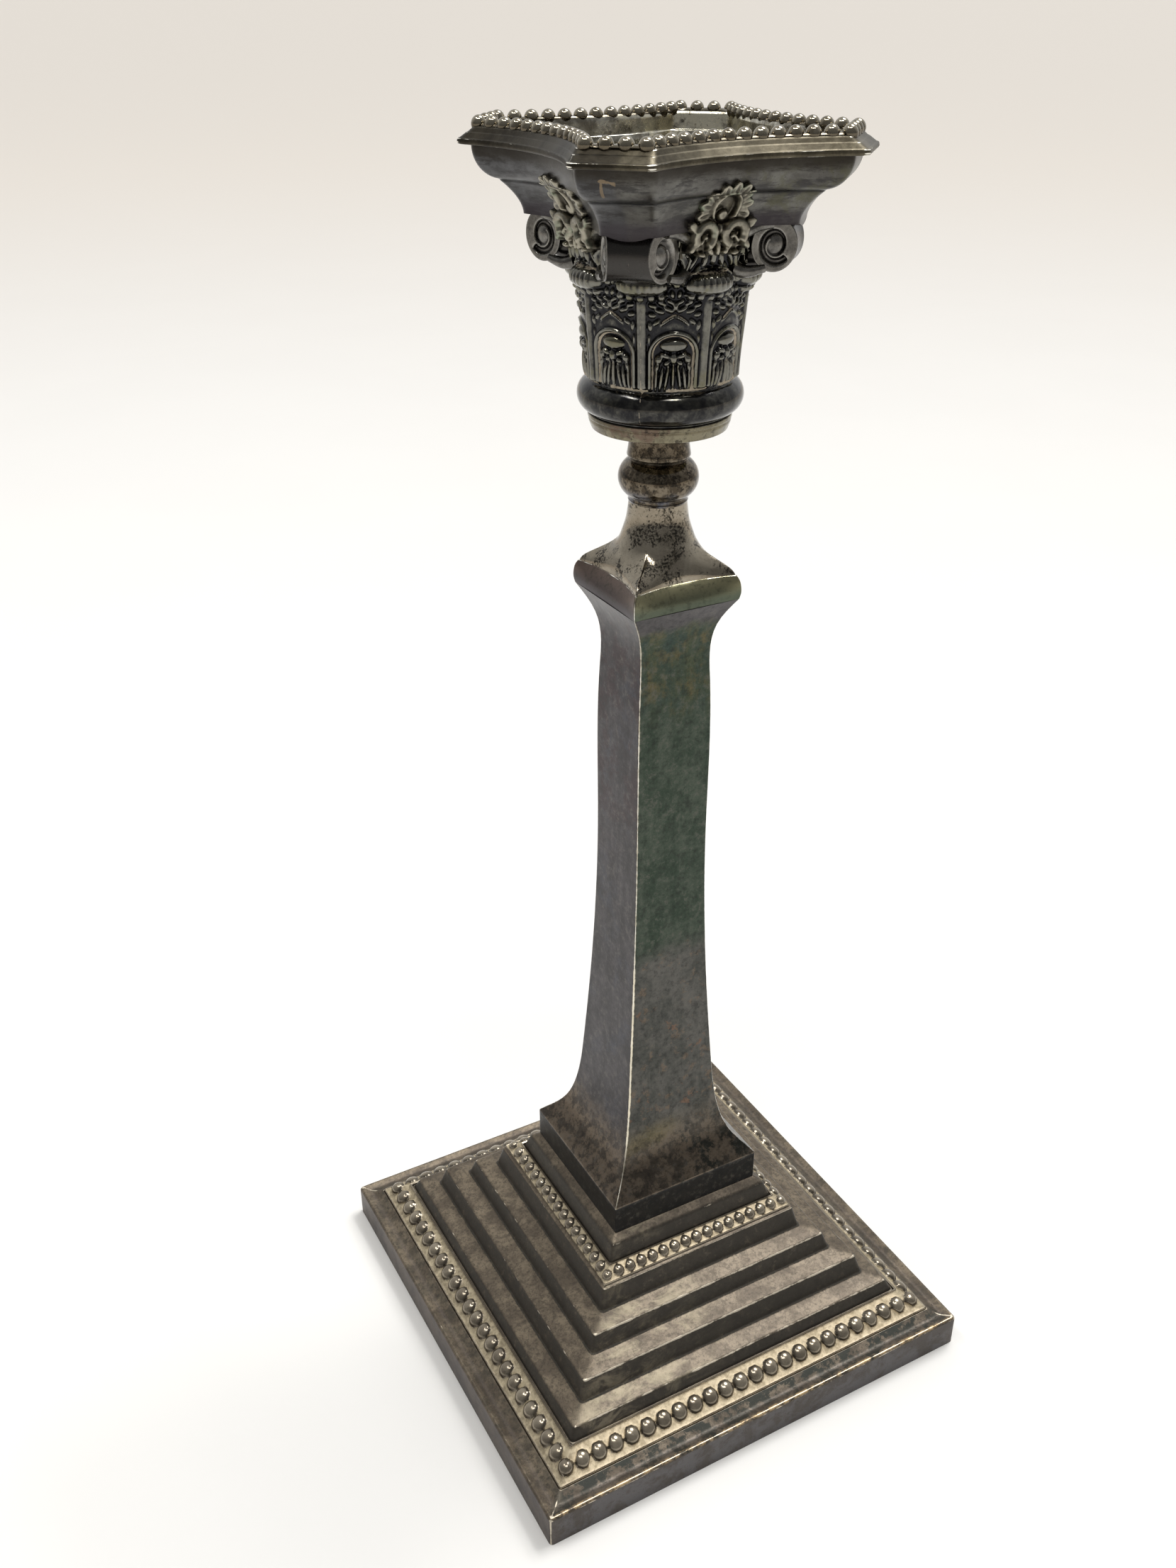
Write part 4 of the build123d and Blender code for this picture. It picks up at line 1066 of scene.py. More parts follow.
UPPER_STEM = ((14.6, 8.5, 262.8), (16.6, 7.6, 264.0), (18.6, 6.6, 264.8), (20.6, 5.5, 265.0))
LOWER_STEM = ((14.6, 7.0, 257.6), (16.4, 6.9, 257.2), (18.2, 6.3, 257.4), (19.6, 5.7, 257.7))
volute_sheet, volute_marks = volute_rings()
volute_finish = relief_film(
    "volute_silver", (0.050, 0.047, 0.044), (0.250, 0.240, 0.220), (0.170, 0.164, 0.140), gloss=0.2)
for turn, corner in enumerate(("back", "left", "front", "right")):
    degrees = 45 + 90 * turn
    tongue = tongue_rings()
    sheets = [(spun(volute_sheet, degrees), False), (spun(tongue, degrees), False)]
    extra = [np.full(tongue.shape[:2], 0.35)]
    for mirror_side in (1, -1):
        for knots, thick, thin in ((UPPER_STEM, 1.2, 0.8), (LOWER_STEM, 1.3, 0.7)):
            stem = stem_rings(knots, mirror_side, thick, thin)
            sheets.append((spun(stem, degrees), False))
            extra.append(np.full(stem.shape[:2], 0.5))
    marks = {}
    for label, values in volute_marks.items():
        marks[label] = [values, *(share * (label == "upright") for share in extra)]
    piece = surface(f"{corner}_volute", sheets, marks, 60)
    piece.data.materials.append(volute_finish)
    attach(piece, "stick")
    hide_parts(f"volute_{corner}")


# ---------------------------------------------------------------- abacus
# A square moulding with hollow sides and cut corners: a hollow below a sunk line and a round above it. It
# was bent from strip and soldered on the front corner, where a small hook of solder still shows.

ABACUS_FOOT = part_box("abacus")[0].z / MM
ABACUS_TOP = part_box("abacus")[1].z / MM
ABACUS_TOP_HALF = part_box("abacus")[1].x / MM
CREASE_HALF, CREASE_Z = 24.7, 270.7
FOOT_HALF = 21.0
CORNER_CUT = 0.32
SIDE_BOW = 0.165
CUP_HOLE = 13.2


def cut_plan(half, cut, bow, soft=1.1, along=25, flat=7, steps=5):
    """Level outlines with hollow sides and cut corners, one row for each half-width.

    With c = half - cut, a side is x = s c, y = -half + bow (1 - s^2) for |s| < 1 - soft / c; the cut is the
    straight line from (c, -half) to (half, -c); and where they meet is a curve like a rounded corner's."""
    rows = np.shape(half)
    half, cut, bow = (np.broadcast_to(np.asarray(v, float), rows)[:, None, None] for v in (half, cut, bow))
    c = half - cut
    s = ((1 - soft / c) * np.sin(0.5 * math.pi * np.linspace(-1, 1, along))[None, :, None])
    side = np.concatenate([s * c, bow * (1 - s ** 2) - half], axis=-1)
    first = np.concatenate([c, -half], axis=-1)
    last = np.concatenate([half, -c], axis=-1)
    ease = soft / (cut * math.sqrt(2))
    f = ease + (1 - 2 * ease) * np.linspace(0, 1, flat)[None, :, None]
    facet = first + f * (last - first)
    t = np.linspace(0, 1, steps + 2)[None, 1:-1, None]
    near = (1 - t) ** 2 * side[:, -1:] + 2 * t * (1 - t) * first + t ** 2 * facet[:, :1]
    start = np.stack([-side[:, 0, 1], side[:, 0, 0]], -1)[:, None]
    far = (1 - t) ** 2 * facet[:, -1:] + 2 * t * (1 - t) * last + t ** 2 * start
    return four_turns(np.concatenate([side, near, facet, far], axis=1))


def arris_marks(along=25, flat=7, steps=5):
    """1 on the two arrises at each cut corner and 0 elsewhere."""
    swell = np.sin(math.pi * np.linspace(0, 1, steps + 2)[1:-1])
    return np.tile(np.concatenate([np.zeros(along), swell, np.zeros(flat), swell]), 4)


def capital_plan(half):
    """The capital's level outlines: the corner cut and the hollow sides grow with the half-width."""
    half = np.asarray(half, float)
    return cut_plan(half, CORNER_CUT * half, SIDE_BOW * half)


def abacus_face(count=30):
    """Outline of the moulding: half-width f + (c - f) u^1.8 over the hollow and c + (t - c) sin a over the
    round."""
    u = np.linspace(0, 1, count)
    hollow = np.stack([FOOT_HALF + (CREASE_HALF - 0.35 - FOOT_HALF) * u ** 1.8,
                       ABACUS_FOOT + (CREASE_Z - 0.35 - ABACUS_FOOT) * u], -1)
    a = np.radians(np.linspace(8, 90, count))
    swell = np.stack([CREASE_HALF - 0.4 + (ABACUS_TOP_HALF + 0.4 - CREASE_HALF) * np.sin(a),
                      ABACUS_TOP - (ABACUS_TOP - CREASE_Z) * np.cos(a)], -1)
    return np.vstack([hollow, [(CREASE_HALF - 0.28, CREASE_Z - 0.12)], swell])


face = abacus_face()
abacus_outer = np.vstack([face, [(ABACUS_TOP_HALF - 0.05, ABACUS_TOP)]])
abacus_inner = np.array([(ABACUS_TOP_HALF - 1.1, ABACUS_TOP), (CREASE_HALF - 1.4, CREASE_Z),
                         (FOOT_HALF - 1.0, ABACUS_FOOT + SHEET)])
plan = np.concatenate([capital_plan(abacus_outer[:, 0]), capital_plan(abacus_inner[:, 0])])
around = np.arctan2(plan[0, :, 1], plan[0, :, 0])
circle = CUP_HOLE * np.stack([np.cos(around), np.sin(around)], -1)[None]
plan = np.concatenate([plan, circle, circle])
heights = np.concatenate([abacus_outer[:, 1], abacus_inner[:, 1], [ABACUS_FOOT + SHEET, ABACUS_FOOT]])
bulge = np.tile(np.concatenate([np.zeros(30), 1 - np.linspace(-1, 1, 7) ** 2, np.zeros(5)]), 4)
sag = 0.7 * bulge[None] * np.clip(1 - (heights[:, None] - ABACUS_FOOT) / 3.0, 0, 1) ** 2
abacus_rings = add_height(plan, heights)
abacus_rings[..., 2] -= sag
outer_rows = (np.arange(len(heights)) < len(abacus_outer))[:, None]
crease_line = np.exp(-((heights - CREASE_Z + 0.1) / 0.25) ** 2)[:, None]
across_front = (plan[..., 0] - plan[..., 1]) / math.sqrt(2)
on_front = (plan[..., 0] + plan[..., 1] < -2 * FOOT_HALF * 0.6)
seam = np.exp(-((across_front + 0.35) / 0.35) ** 2) * on_front * (heights < CREASE_Z)[:, None]
abacus_marks = {
    "wear": 0.35 * arris_marks()[None] * outer_rows,
    "grime": np.clip(outer_rows * 0.9 * seam, 0, 1),
    "upright": outer_rows * crease_line + 0 * plan[..., 0],
}


def abacus_film():
    """Slate in streaks that follow the moulding, black in the sunk line, with a painted shadow under the
    plate, and a lump of solder and a soldered seam on the front corner."""
    finish = Finish("abacus_silver")
    x, y, z = finish.axis("X"), finish.axis("Y"), finish.axis("Z")
    drift = finish.clouds(6, 7, 0.7, 0.3)
    streak = finish.clouds(3.5, 7, 0.72, 0.2, finish.stretched((0.5, 0.5, 2.6)))
    left = finish.fade(drift, 0.38, 0.62, (0.090, 0.090, 0.092), (0.056, 0.055, 0.056))
    right = finish.fade(drift, 0.38, 0.62, (0.135, 0.132, 0.120), (0.078, 0.074, 0.068))
    colour = finish.fade(x - y, -0.001, 0.001, left, right)
    colour = finish.fade(streak, 0.46, 0.60, colour, (0.034, 0.032, 0.032), 0.8)
    low = 1 - finish.step(z + 0.003 * (drift - 0.5), 0.2662, 0.2680)
    colour = finish.blend(low * 0.8, colour, (0.035, 0.030, 0.034))
    olive = finish.step(finish.clouds(7, 6, 0.68) + 10 * (x - y - 0.040), 0.46, 0.58)
    colour = finish.blend(olive * 0.6, colour, (0.082, 0.080, 0.050))
    # Painted shadow: the top of the round, just under the nozzle plate, is darkened.
    top = finish.step(z + 0.002 * (streak - 0.5), 0.2733, 0.2752)
    colour = finish.blend(top * 0.85, colour, (0.030, 0.026, 0.021))
    colour = finish.blend(finish.mark("upright") * 0.9, colour, (0.012, 0.012, 0.012))
    across = (x - y) * 0.7071 + 0.0022
    on_front = finish.step(0 - x - y, 0.036, 0.040)
    ragged = 0.0012 * (finish.clouds(2, 5, 0.6) - 0.5)
    lump = 1 - finish.step(abs(across) + ragged, 0.0000, 0.0005)
    lump = lump * on_front * finish.step(z, 0.2712, 0.2722) * (1 - finish.step(z, 0.2738, 0.2748))
    bent = 0.2744 - 60 * across * across
    hook = finish.step(abs(z - bent) + ragged, 0.0005, 0.0001) * finish.step(across, -0.0010, 0.0)
    hook = hook * on_front * (1 - finish.step(across, 0.0018, 0.0030))
    ragged_edge = 0.5 * (finish.clouds(1.0, 6, 0.7) - 0.5)
    solder = finish.step(lump.larger(hook) + ragged_edge, 0.35, 0.70)
    colour = finish.blend(solder * 0.6, colour, (0.235, 0.175, 0.11))
    return aged(finish, colour, (0.45, 0.44, 0.41), (0.40, 0.30, 0.22), rub=0.0, pits=0.5, gloss=0.26)


abacus = surface("abacus_moulding", [(abacus_rings, True)], abacus_marks, 50)
abacus_finish = abacus_film()
abacus.data.materials.append(abacus_finish)
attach(abacus, "stick")
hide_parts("abacus")


# ---------------------------------------------------------------- fleurons
# A cast flower in the middle of each side: two small scrolls below, a hooded arch above them, and a fan of
# petals that lies over the abacus.

FLEURON_LOW, FLEURON_HIGH = 260.6, 274.0
SUNK = -1.6
SCROLL_MID, SCROLL_R = (2.95, 264.0), 2.75
HOOD_MID, HOOD_R = (0.0, 268.5), 2.45


def shown(part, height, power=0.5):
    """A part of the flower at its height where its dome is above 0, and sunk out of sight elsewhere."""
    return np.where(part > 0, height * np.clip(part, 0, 1) ** power, SUNK)


def fleuron_relief(x, z):
    """How far the flower stands out, in millimetres. Outside the flower it sinks below the moulding.

    Each scroll is a rounded band bent round like a horseshoe, with its end hooked in; above them is a hood
    with a thin rim and a hollow under it; and round the hood nine soft petals fan out."""
    side = np.abs(x)
    relief = np.full(np.shape(x), SUNK)
    for degrees in np.linspace(-104, 104, 9):
        a = math.radians(degrees)
        spot = (3.95 * math.sin(a), HOOD_MID[1] - 0.4 + 3.5 * math.cos(a))
        petal = dome(x, z, spot, (1.05, 1.55), -degrees)
        relief = np.maximum(relief, shown(petal, 0.95) - 0.3 * dome(x, z, spot, (0.25, 1.1), -degrees))
    relief = np.maximum(relief, shown(dome(x, z, (0, 267.4), (3.6, 3.8)), 0.6, 0.3))
    from_hood = np.hypot(x - HOOD_MID[0], (z - HOOD_MID[1]) * np.where(z > HOOD_MID[1], 1.0, 0.8))
    relief = np.where(from_hood < HOOD_R - 0.3, -0.1, relief)
    rim = ridge(from_hood - HOOD_R, 0.5) * (z > HOOD_MID[1] - 1.7)
    relief = np.maximum(relief, shown(rim - 0.05, 1.55))
    relief = np.maximum(relief, shown(dome(x, z, (0, 267.2), (1.0, 1.0)), 1.1))
    dx, dz = side - SCROLL_MID[0], z - SCROLL_MID[1]
    from_scroll = np.hypot(dx, dz)
    opening = np.clip((np.abs(np.degrees(np.arctan2(dx, -dz)) - 12) - 22) / 14, 0, 1)
    band = np.sqrt(np.clip(1 - ((from_scroll - 1.85) / 0.95) ** 2, 0, 1)) * opening
    relief = np.where(from_scroll < SCROLL_R, np.maximum(relief, 0.1), relief)
    relief = np.maximum(relief, shown(band, 1.75, 0.8))
    tip, shank = dome(dx, dz, (-0.25, -0.3), (0.62, 0.5), 20), dome(dx, dz, (0.45, -0.75), (0.35, 1.0), 28)
    relief = np.maximum(relief, shown(np.maximum(tip, shank), 1.35))
    for spot, size, lean in (
        ((5.6, 265.6), (0.9, 1.3), -50), ((0, 261.9), (0.55, 1.5), 0), ((1.5, 261.3), (0.6, 0.8), -30),
        ((3.3, 260.9), (0.9, 0.5), 10), ((5.3, 262.3), (0.7, 1.2), 32), ((0, 264.9), (0.4, 1.0), 0),
    ):
        relief = np.maximum(relief, shown(dome(side, z, spot, size, lean), 1.2))
    return relief


def fleuron_rings(columns=110, rows=110):
    """Rings across the flower at rising heights. The front follows the moulding behind it, and the bell
    below the moulding, plus the flower's relief; the back is flat and lies inside them."""
    x = np.linspace(-6.6, 6.6, columns)[None]
    z = np.linspace(FLEURON_LOW - 0.3, FLEURON_HIGH + 0.2, rows)[:, None]
    outline = abacus_face()
    half = np.interp(z, outline[:, 1], outline[:, 0])
    reach = half * (1 - CORNER_CUT)
    ground = half - SIDE_BOW * half * (1 - (x / reach) ** 2)
    below = np.clip((ABACUS_FOOT - z) / 1.2, 0, 1)
    ground = ground - 0.55 * below * (3 - 2 * below) * below
    lift = averaged(fleuron_relief(x + 0 * z, z + 0 * x), 2)
    front = np.stack([x + 0 * z, -(ground + 0.15 + lift), z + 0 * x], -1)
    deep = -(ground[:, ::-12] - 2.4)
    back = np.stack([(x + 0 * z)[:, ::-12], deep, (z + 0 * x)[:, ::-12]], -1)
    dip = averaged(lift, 12) - lift
    plain = np.zeros(back.shape[:2])
    valley = np.clip(1 - np.abs(lift - 0.35) / 0.35, 0, 1) * np.clip(dip / 0.35, 0, 1)
    marks = {"grime": np.concatenate([valley * 0.85, plain], 1),
             "wear": np.concatenate([np.clip(-dip / 0.7, 0, 1) * 0.7, plain], 1),
             "upright": np.concatenate([np.clip(0.45 - dip / 0.8, 0, 1), plain], 1)}
    return np.concatenate([front, back], axis=1), marks


fleuron_sheet, fleuron_marks = fleuron_rings()
fleuron_finish = relief_film(
    "fleuron_silver", (0.075, 0.068, 0.054), (0.320, 0.297, 0.238), (0.150, 0.190, 0.135), gloss=0.24)
for turn, side in enumerate(("front_right", "back_right", "back_left", "front_left")):
    piece = surface(f"{side}_fleuron", [(spun(fleuron_sheet, 90 * turn), False)], fleuron_marks, 60)
    piece.data.materials.append(fleuron_finish)
    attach(piece, "stick")
    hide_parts(f"fleuron_{side}")


# ---------------------------------------------------------------- nozzle plate
# The lift-off nozzle: a square plate with a moulded edge and a pan that goes down in three steps to the
# candle socket. Its edge is brassy and dark, and the pan has been rubbed paler than the rest.

plate_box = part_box("nozzle_plate")
PLATE_HALF = plate_box[1].x / MM
PLATE_TOP = plate_box[1].z / MM
PLATE_FOOT = ABACUS_TOP + 0.1
SOCKET_HOLE = 12.05
BEAD_BED = PLATE_TOP + 0.75

edge, edge_stand = softened([
    (PLATE_HALF - 0.8, PLATE_FOOT), (PLATE_HALF - 0.2, PLATE_FOOT + 0.02), (PLATE_HALF, PLATE_FOOT + 0.35),
    (PLATE_HALF - 0.1, PLATE_FOOT + 0.95), (PLATE_HALF - 0.5, PLATE_FOOT + 1.1),
    (PLATE_HALF - 0.62, PLATE_FOOT + 1.2), (PLATE_HALF - 1.5, PLATE_FOOT + 1.95),
    (PLATE_HALF - 1.75, PLATE_FOOT + 2.05), (PLATE_HALF - 2.5, BEAD_BED - 0.15),
    (PLATE_HALF - 2.9, BEAD_BED), (PLATE_HALF - 5.6, BEAD_BED), (24.9, BEAD_BED + 0.1),
    (24.6, BEAD_BED - 0.4), (24.3, 276.2), (23.2, 275.95), (22.9, 276.4), (22.4, 276.35), (22.0, 275.4),
    (21.8, 273.4), (20.2, 273.25), (19.9, 273.75), (19.4, 273.65), (18.8, 272.9), (18.5, 271.5),
    (17.2, 271.4),
], 0.2)
hidden = np.array([(19.2, 270.75), (22.4, 272.5), (25.2, 275.2), (27.6, PLATE_FOOT)])
plate_plan = np.concatenate([
    capital_plan(edge[:, 0]), np.zeros((2, capital_plan([20.0]).shape[1], 2)), capital_plan(hidden[:, 0])])
around = np.arctan2(plate_plan[0, :, 1], plate_plan[0, :, 0])
plate_plan[len(edge):len(edge) + 2] = SOCKET_HOLE * np.stack([np.cos(around), np.sin(around)], -1)[None]
plate_heights = np.concatenate([edge[:, 1], [271.4, 270.65], hidden[:, 1]])
plate_rings = add_height(plate_plan, plate_heights)
plate_stand = np.concatenate([edge_stand, np.zeros(2 + len(hidden))])[:, None]
outer_rows = (np.arange(len(plate_heights)) < len(edge))[:, None]
in_pan = np.concatenate([edge[:, 0] < 24.95, np.zeros(2 + len(hidden))])[:, None]
plate_marks = {
    "wear": np.clip(np.maximum(plate_stand, 0) + 0.7 * arris_marks()[None] * outer_rows, 0, 1),
    "grime": np.clip(-plate_stand, 0, 1) * 0.5 + 0 * plate_plan[..., 0],
    "upright": in_pan + 0 * plate_plan[..., 0],
}
plate = surface("nozzle_pan", [(plate_rings, True)], plate_marks, 45)


def nozzle_film():
    """Brassy grey on the moulded edge, and the same brass at under half the brightness on the side that
    faces -X, which is painted shade; paler in the pan, with wax stains in the far corner."""
    finish = Finish("nozzle_silver")
    x, y = finish.axis("X"), finish.axis("Y")
    drift = finish.clouds(6, 7, 0.7, 0.3)
    brassy = finish.fade(drift, 0.38, 0.62, (0.120, 0.105, 0.075), (0.060, 0.052, 0.036))
    # Umber is the brassy colour at under half its brightness: painted shade on the side that faces -X.
    umber = finish.fade(drift, 0.38, 0.62, (0.052, 0.045, 0.033), (0.026, 0.022, 0.016))
    shaded_left_side = finish.step(0 - x - abs(y) + 0.003 * (drift - 0.5), -0.003, 0.000)
    edge_colour = finish.blend(shaded_left_side, brassy, umber)
    pan = finish.fade(drift, 0.40, 0.60, (0.56, 0.54, 0.47), (0.23, 0.21, 0.170))
    inside = finish.mark("upright")
    colour = finish.blend(inside, edge_colour, pan)
    wax = finish.step(finish.clouds(4, 5, 0.6) + 9 * (x + y - 0.030), 0.46, 0.60) * inside
    colour = finish.blend(wax * 0.85, colour, (0.74, 0.70, 0.56))
    colour = finish.blend(crackle(finish, 1.3, drift, 0.63, 0.68) * 0.8, colour, (0.05, 0.042, 0.030))
    return aged(finish, colour, (0.90, 0.87, 0.78), (0.10, 0.085, 0.060), rub=0.10, pits=0.5,
                gloss=0.34 - 0.22 * inside, grit=1.0)


nozzle_silver = nozzle_film()
plate.data.materials.append(nozzle_silver)
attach(plate, "nozzle")
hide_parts("nozzle_plate")


# ---------------------------------------------------------------- bead border of the nozzle
# A string of beads cast in one with the thin wire that joins them, soldered round the top of the plate.

BORDER_HALF, BORDER_CUT, BORDER_BOW = 26.5, 7.0, 4.5
BEAD_WIDE, BEAD_TALL = 1.38, 1.5
SIDE_BEADS, CORNER_BEADS = 13, 3


def border_quarter():
    """A quarter of the border's line as two runs: the bowed side y = -half + bow (1 - s^2), and the
    corner."""
    c = BORDER_HALF - BORDER_CUT
    s = np.linspace(-1, 1, 200)
    side = np.stack([s * c, BORDER_BOW * (1 - s ** 2) - BORDER_HALF], -1)
    return side, np.array([(c, -BORDER_HALF), (BORDER_HALF, -c)])


def bead_middles():
    """The middle of every bead: each run of the border is divided into equal steps, starting on its
    corner."""
    middles = []
    for run, count in zip(border_quarter(), (SIDE_BEADS, CORNER_BEADS)):
        length = np.concatenate([[0], np.cumsum(np.linalg.norm(np.diff(run, axis=0), axis=1))])
        where = np.arange(count) * length[-1] / count
        middles.append(np.stack([np.interp(where, length, run[:, k]) for k in (0, 1)], -1))
    return four_turns(np.concatenate(middles)[None])[0]


def bead_rings(middle):
    """Rings of one bead: at latitude b the ring has radius wide cos b and height middle + tall sin b."""
    b = np.radians(np.concatenate([np.linspace(-50, 80, 10), [89.0]]))
    ring = turned(np.stack([BEAD_WIDE * np.cos(b), BEAD_TALL * np.sin(b)], -1), 16)
    return ring + (*middle, BEAD_MIDDLE)


def loop_rings(path, radius_out, radius_up, places=10):
    """Rings round a closed level path: the point at angle a is out by radius_out cos a and up by radius_up
    sin a."""
    way = np.roll(path, -1, 0) - np.roll(path, 1, 0)
    out = np.stack([way[:, 1], -way[:, 0], 0 * way[:, 0]], -1)
    out /= np.linalg.norm(out, axis=1, keepdims=True)
    a = np.linspace(0, 2 * math.pi, places, endpoint=False)[None, :, None]
    up = np.array((0, 0, 1.0))
    return path[:, None] + radius_out * np.cos(a) * out[:, None] + radius_up * np.sin(a) * up


BEAD_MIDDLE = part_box("nozzle_bead_border")[1].z / MM - BEAD_TALL
side_run, corner_run = border_quarter()
wire_quarter = np.concatenate([side_run[4:-4:6], np.linspace(*corner_run, 9)[1:-1]])
wire_path = four_turns(wire_quarter[None])[0]
wire_path = np.concatenate([wire_path, np.full((len(wire_path), 1), BEAD_BED + 0.1)], axis=1)
wire_rings = loop_rings(wire_path, 1.1, 0.4)
bead_sheets = [(bead_rings(middle), False) for middle in bead_middles()]
beads = surface("border_of_beads", [*bead_sheets, (wire_rings, True)], crease=75)


def border_film():
    """Glossy taupe on the crowns with darker patches, and dark brown lower down: painted shade on the lower
    half of each bead and on the wire between them.
    """
    finish = Finish("border_silver")
    # Painted shade: below the height of the crowns, the beads and the wire turn dark brown.
    z = finish.axis("Z") + 0.0006 * (finish.clouds(1.5, 6, 0.7) - 0.5)
    colour = finish.fade(z, 0.2789, 0.2803, (0.060, 0.048, 0.032), (0.30, 0.27, 0.21))
    colour = finish.fade(finish.clouds(5, 6, 0.7), 0.50, 0.62, colour, (0.150, 0.125, 0.085), 0.6)
    return aged(finish, colour, rub=-0.3, pits=0.4, gloss=0.03, grit=0.5)


beads.data.materials.append(border_film())
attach(beads, "nozzle")
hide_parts("nozzle_bead_border")


# ---------------------------------------------------------------- candle socket and the cup it drops into
# The socket is a tube with a closed foot and a rolled lip, brazed into the pan. The cup is a plain spun
# part that hangs by its flange in the floor of the abacus.

socket_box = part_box("nozzle_socket")
SOCKET_FOOT, SOCKET_TOP = socket_box[0].z / MM, socket_box[1].z / MM
SOCKET_R = socket_box[1].x / MM
BORE = 11.25

PINHOLE = 0.05
socket = turned_piece("candle_socket", [
    (PINHOLE, SOCKET_FOOT), (SOCKET_R - 1.0, SOCKET_FOOT), (SOCKET_R, SOCKET_FOOT + 1.0),
    (SOCKET_R, SOCKET_TOP - 0.1), (SOCKET_R - 0.35, SOCKET_TOP + 0.15), (BORE, SOCKET_TOP - 0.2),
    (BORE, SOCKET_FOOT + SHEET), (PINHOLE, SOCKET_FOOT + SHEET),
], 0.25, joined=False, upright=1.0)
socket.data.materials.append(nozzle_silver)
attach(socket, "nozzle")
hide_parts("nozzle_socket")

cup_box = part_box("socket_cup")
CUP_FOOT, CUP_TOP, FLANGE_R = cup_box[0].z / MM, cup_box[1].z / MM, cup_box[1].x / MM
CUP_BORE = 12.3
cup = turned_piece("spun_cup", [
    (PINHOLE, CUP_FOOT), (CUP_BORE - 0.4, CUP_FOOT), (CUP_BORE + SHEET, CUP_FOOT + 1.2),
    (CUP_BORE + SHEET, CUP_TOP - SHEET), (FLANGE_R, CUP_TOP - SHEET), (FLANGE_R, CUP_TOP),
    (CUP_BORE + 0.3, CUP_TOP), (CUP_BORE, CUP_TOP - 0.5), (CUP_BORE, CUP_FOOT + SHEET),
    (PINHOLE, CUP_FOOT + SHEET),
], 0.2, joined=False)
cup_silver = relief_film(
    "cup_silver", (0.10, 0.085, 0.055), (0.20, 0.17, 0.11), (0.13, 0.10, 0.06), gloss=0.3)
cup.data.materials.append(cup_silver)
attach(cup, "stick")
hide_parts("socket_cup")


# ---------------------------------------------------------------- tie rod, nuts and washers
# Plain iron, hidden inside: a rod from the board to the foot of the capital with a nut and washer at each
# end.

def iron():
    """Dull grey iron with a bloom of rust."""
    finish = Finish("plain_iron")
    rust = finish.step(finish.clouds(3, 7, 0.7), 0.46, 0.62)
    colour = finish.blend(rust, (0.32, 0.31, 0.30), (0.20, 0.09, 0.045))
    thread = finish.node("ShaderNodeTexWave", {"bands_direction": "Z"},
                         {"Vector": finish.place, "Scale": 450.0})
    return finish.finish(base_color=colour, roughness=0.38 + 0.35 * rust, metallic=0.95 - 0.6 * rust,
                         normal=finish.bump(thread + finish.clouds(0.4, 4, 0.7), 0.06, 0.4))


iron_finish = iron()
for node in ("tie_rod", "top_washer", "top_nut", "bottom_washer", "bottom_nut"):
    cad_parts[node].data.materials.clear()
    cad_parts[node].data.materials.append(iron_finish)


# ---------------------------------------------------------------- loading, board and baize
# Poured pitch and plaster fill the base and the lower column. A softwood board closes the base, with green
# baize glued over it.

def pitch():
    """Black pitch with a dull skin and fine grit."""
    finish = Finish("poured_pitch")
    grit = finish.clouds(0.8, 6, 0.75)
    colour = finish.fade(grit, 0.5, 0.7, (0.018, 0.016, 0.014), (0.075, 0.065, 0.055))
    return finish.finish(base_color=colour, roughness=0.45 + 0.3 * finish.clouds(6, 4, 0.6),
                         normal=finish.bump(grit, 0.2, 0.6))


def softwood():
    """Pine: rings stretched along X, darker late wood and fine pores."""
    finish = Finish("softwood")
    along = finish.stretched((0.06, 1.0, 1.0))
    rings = finish.node("ShaderNodeTexWave", {"bands_direction": "Y"},
                        {"Vector": along, "Scale": 110.0, "Distortion": 3.0, "Detail": 3.0})
    pores = finish.clouds(0.5, 4, 0.7, 0.0, along)
    colour = finish.fade(rings, 0.3, 0.9, (0.46, 0.32, 0.19), (0.29, 0.17, 0.09))
    colour = finish.fade(pores, 0.55, 0.7, colour, (0.18, 0.11, 0.06), 0.5)
    return finish.finish(base_color=colour, roughness=0.6 + 0.2 * pores,
                         normal=finish.bump(rings + pores, 0.08, 0.5))


def baize():
    """Green felted wool with a fine nap, worn and dusty in places."""
    finish = Finish("green_baize")
    nap = finish.clouds(0.35, 5, 0.8)
    dust = finish.step(finish.clouds(12, 6, 0.65), 0.5, 0.7)
    colour = finish.fade(nap, 0.35, 0.7, (0.012, 0.055, 0.028), (0.035, 0.12, 0.062))
    colour = finish.blend(dust * 0.5, colour, (0.14, 0.15, 0.11))
    return finish.finish(base_color=colour, roughness=0.95, sheen_weight=0.35,
                         normal=finish.bump(nap, 0.25, 0.8))


for node, finish in (("pitch_loading", pitch()), ("base_board", softwood()), ("baize_pad", baize())):
    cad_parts[node].data.materials.clear()
    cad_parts[node].data.materials.append(finish)


# ---------------------------------------------------------------- floor, light and camera
# A plain pale floor, a pale room that is brighter towards the far right, a soft sun, and three narrow
# panels overhead that make the small highlights. The camera looks down past the front corner.

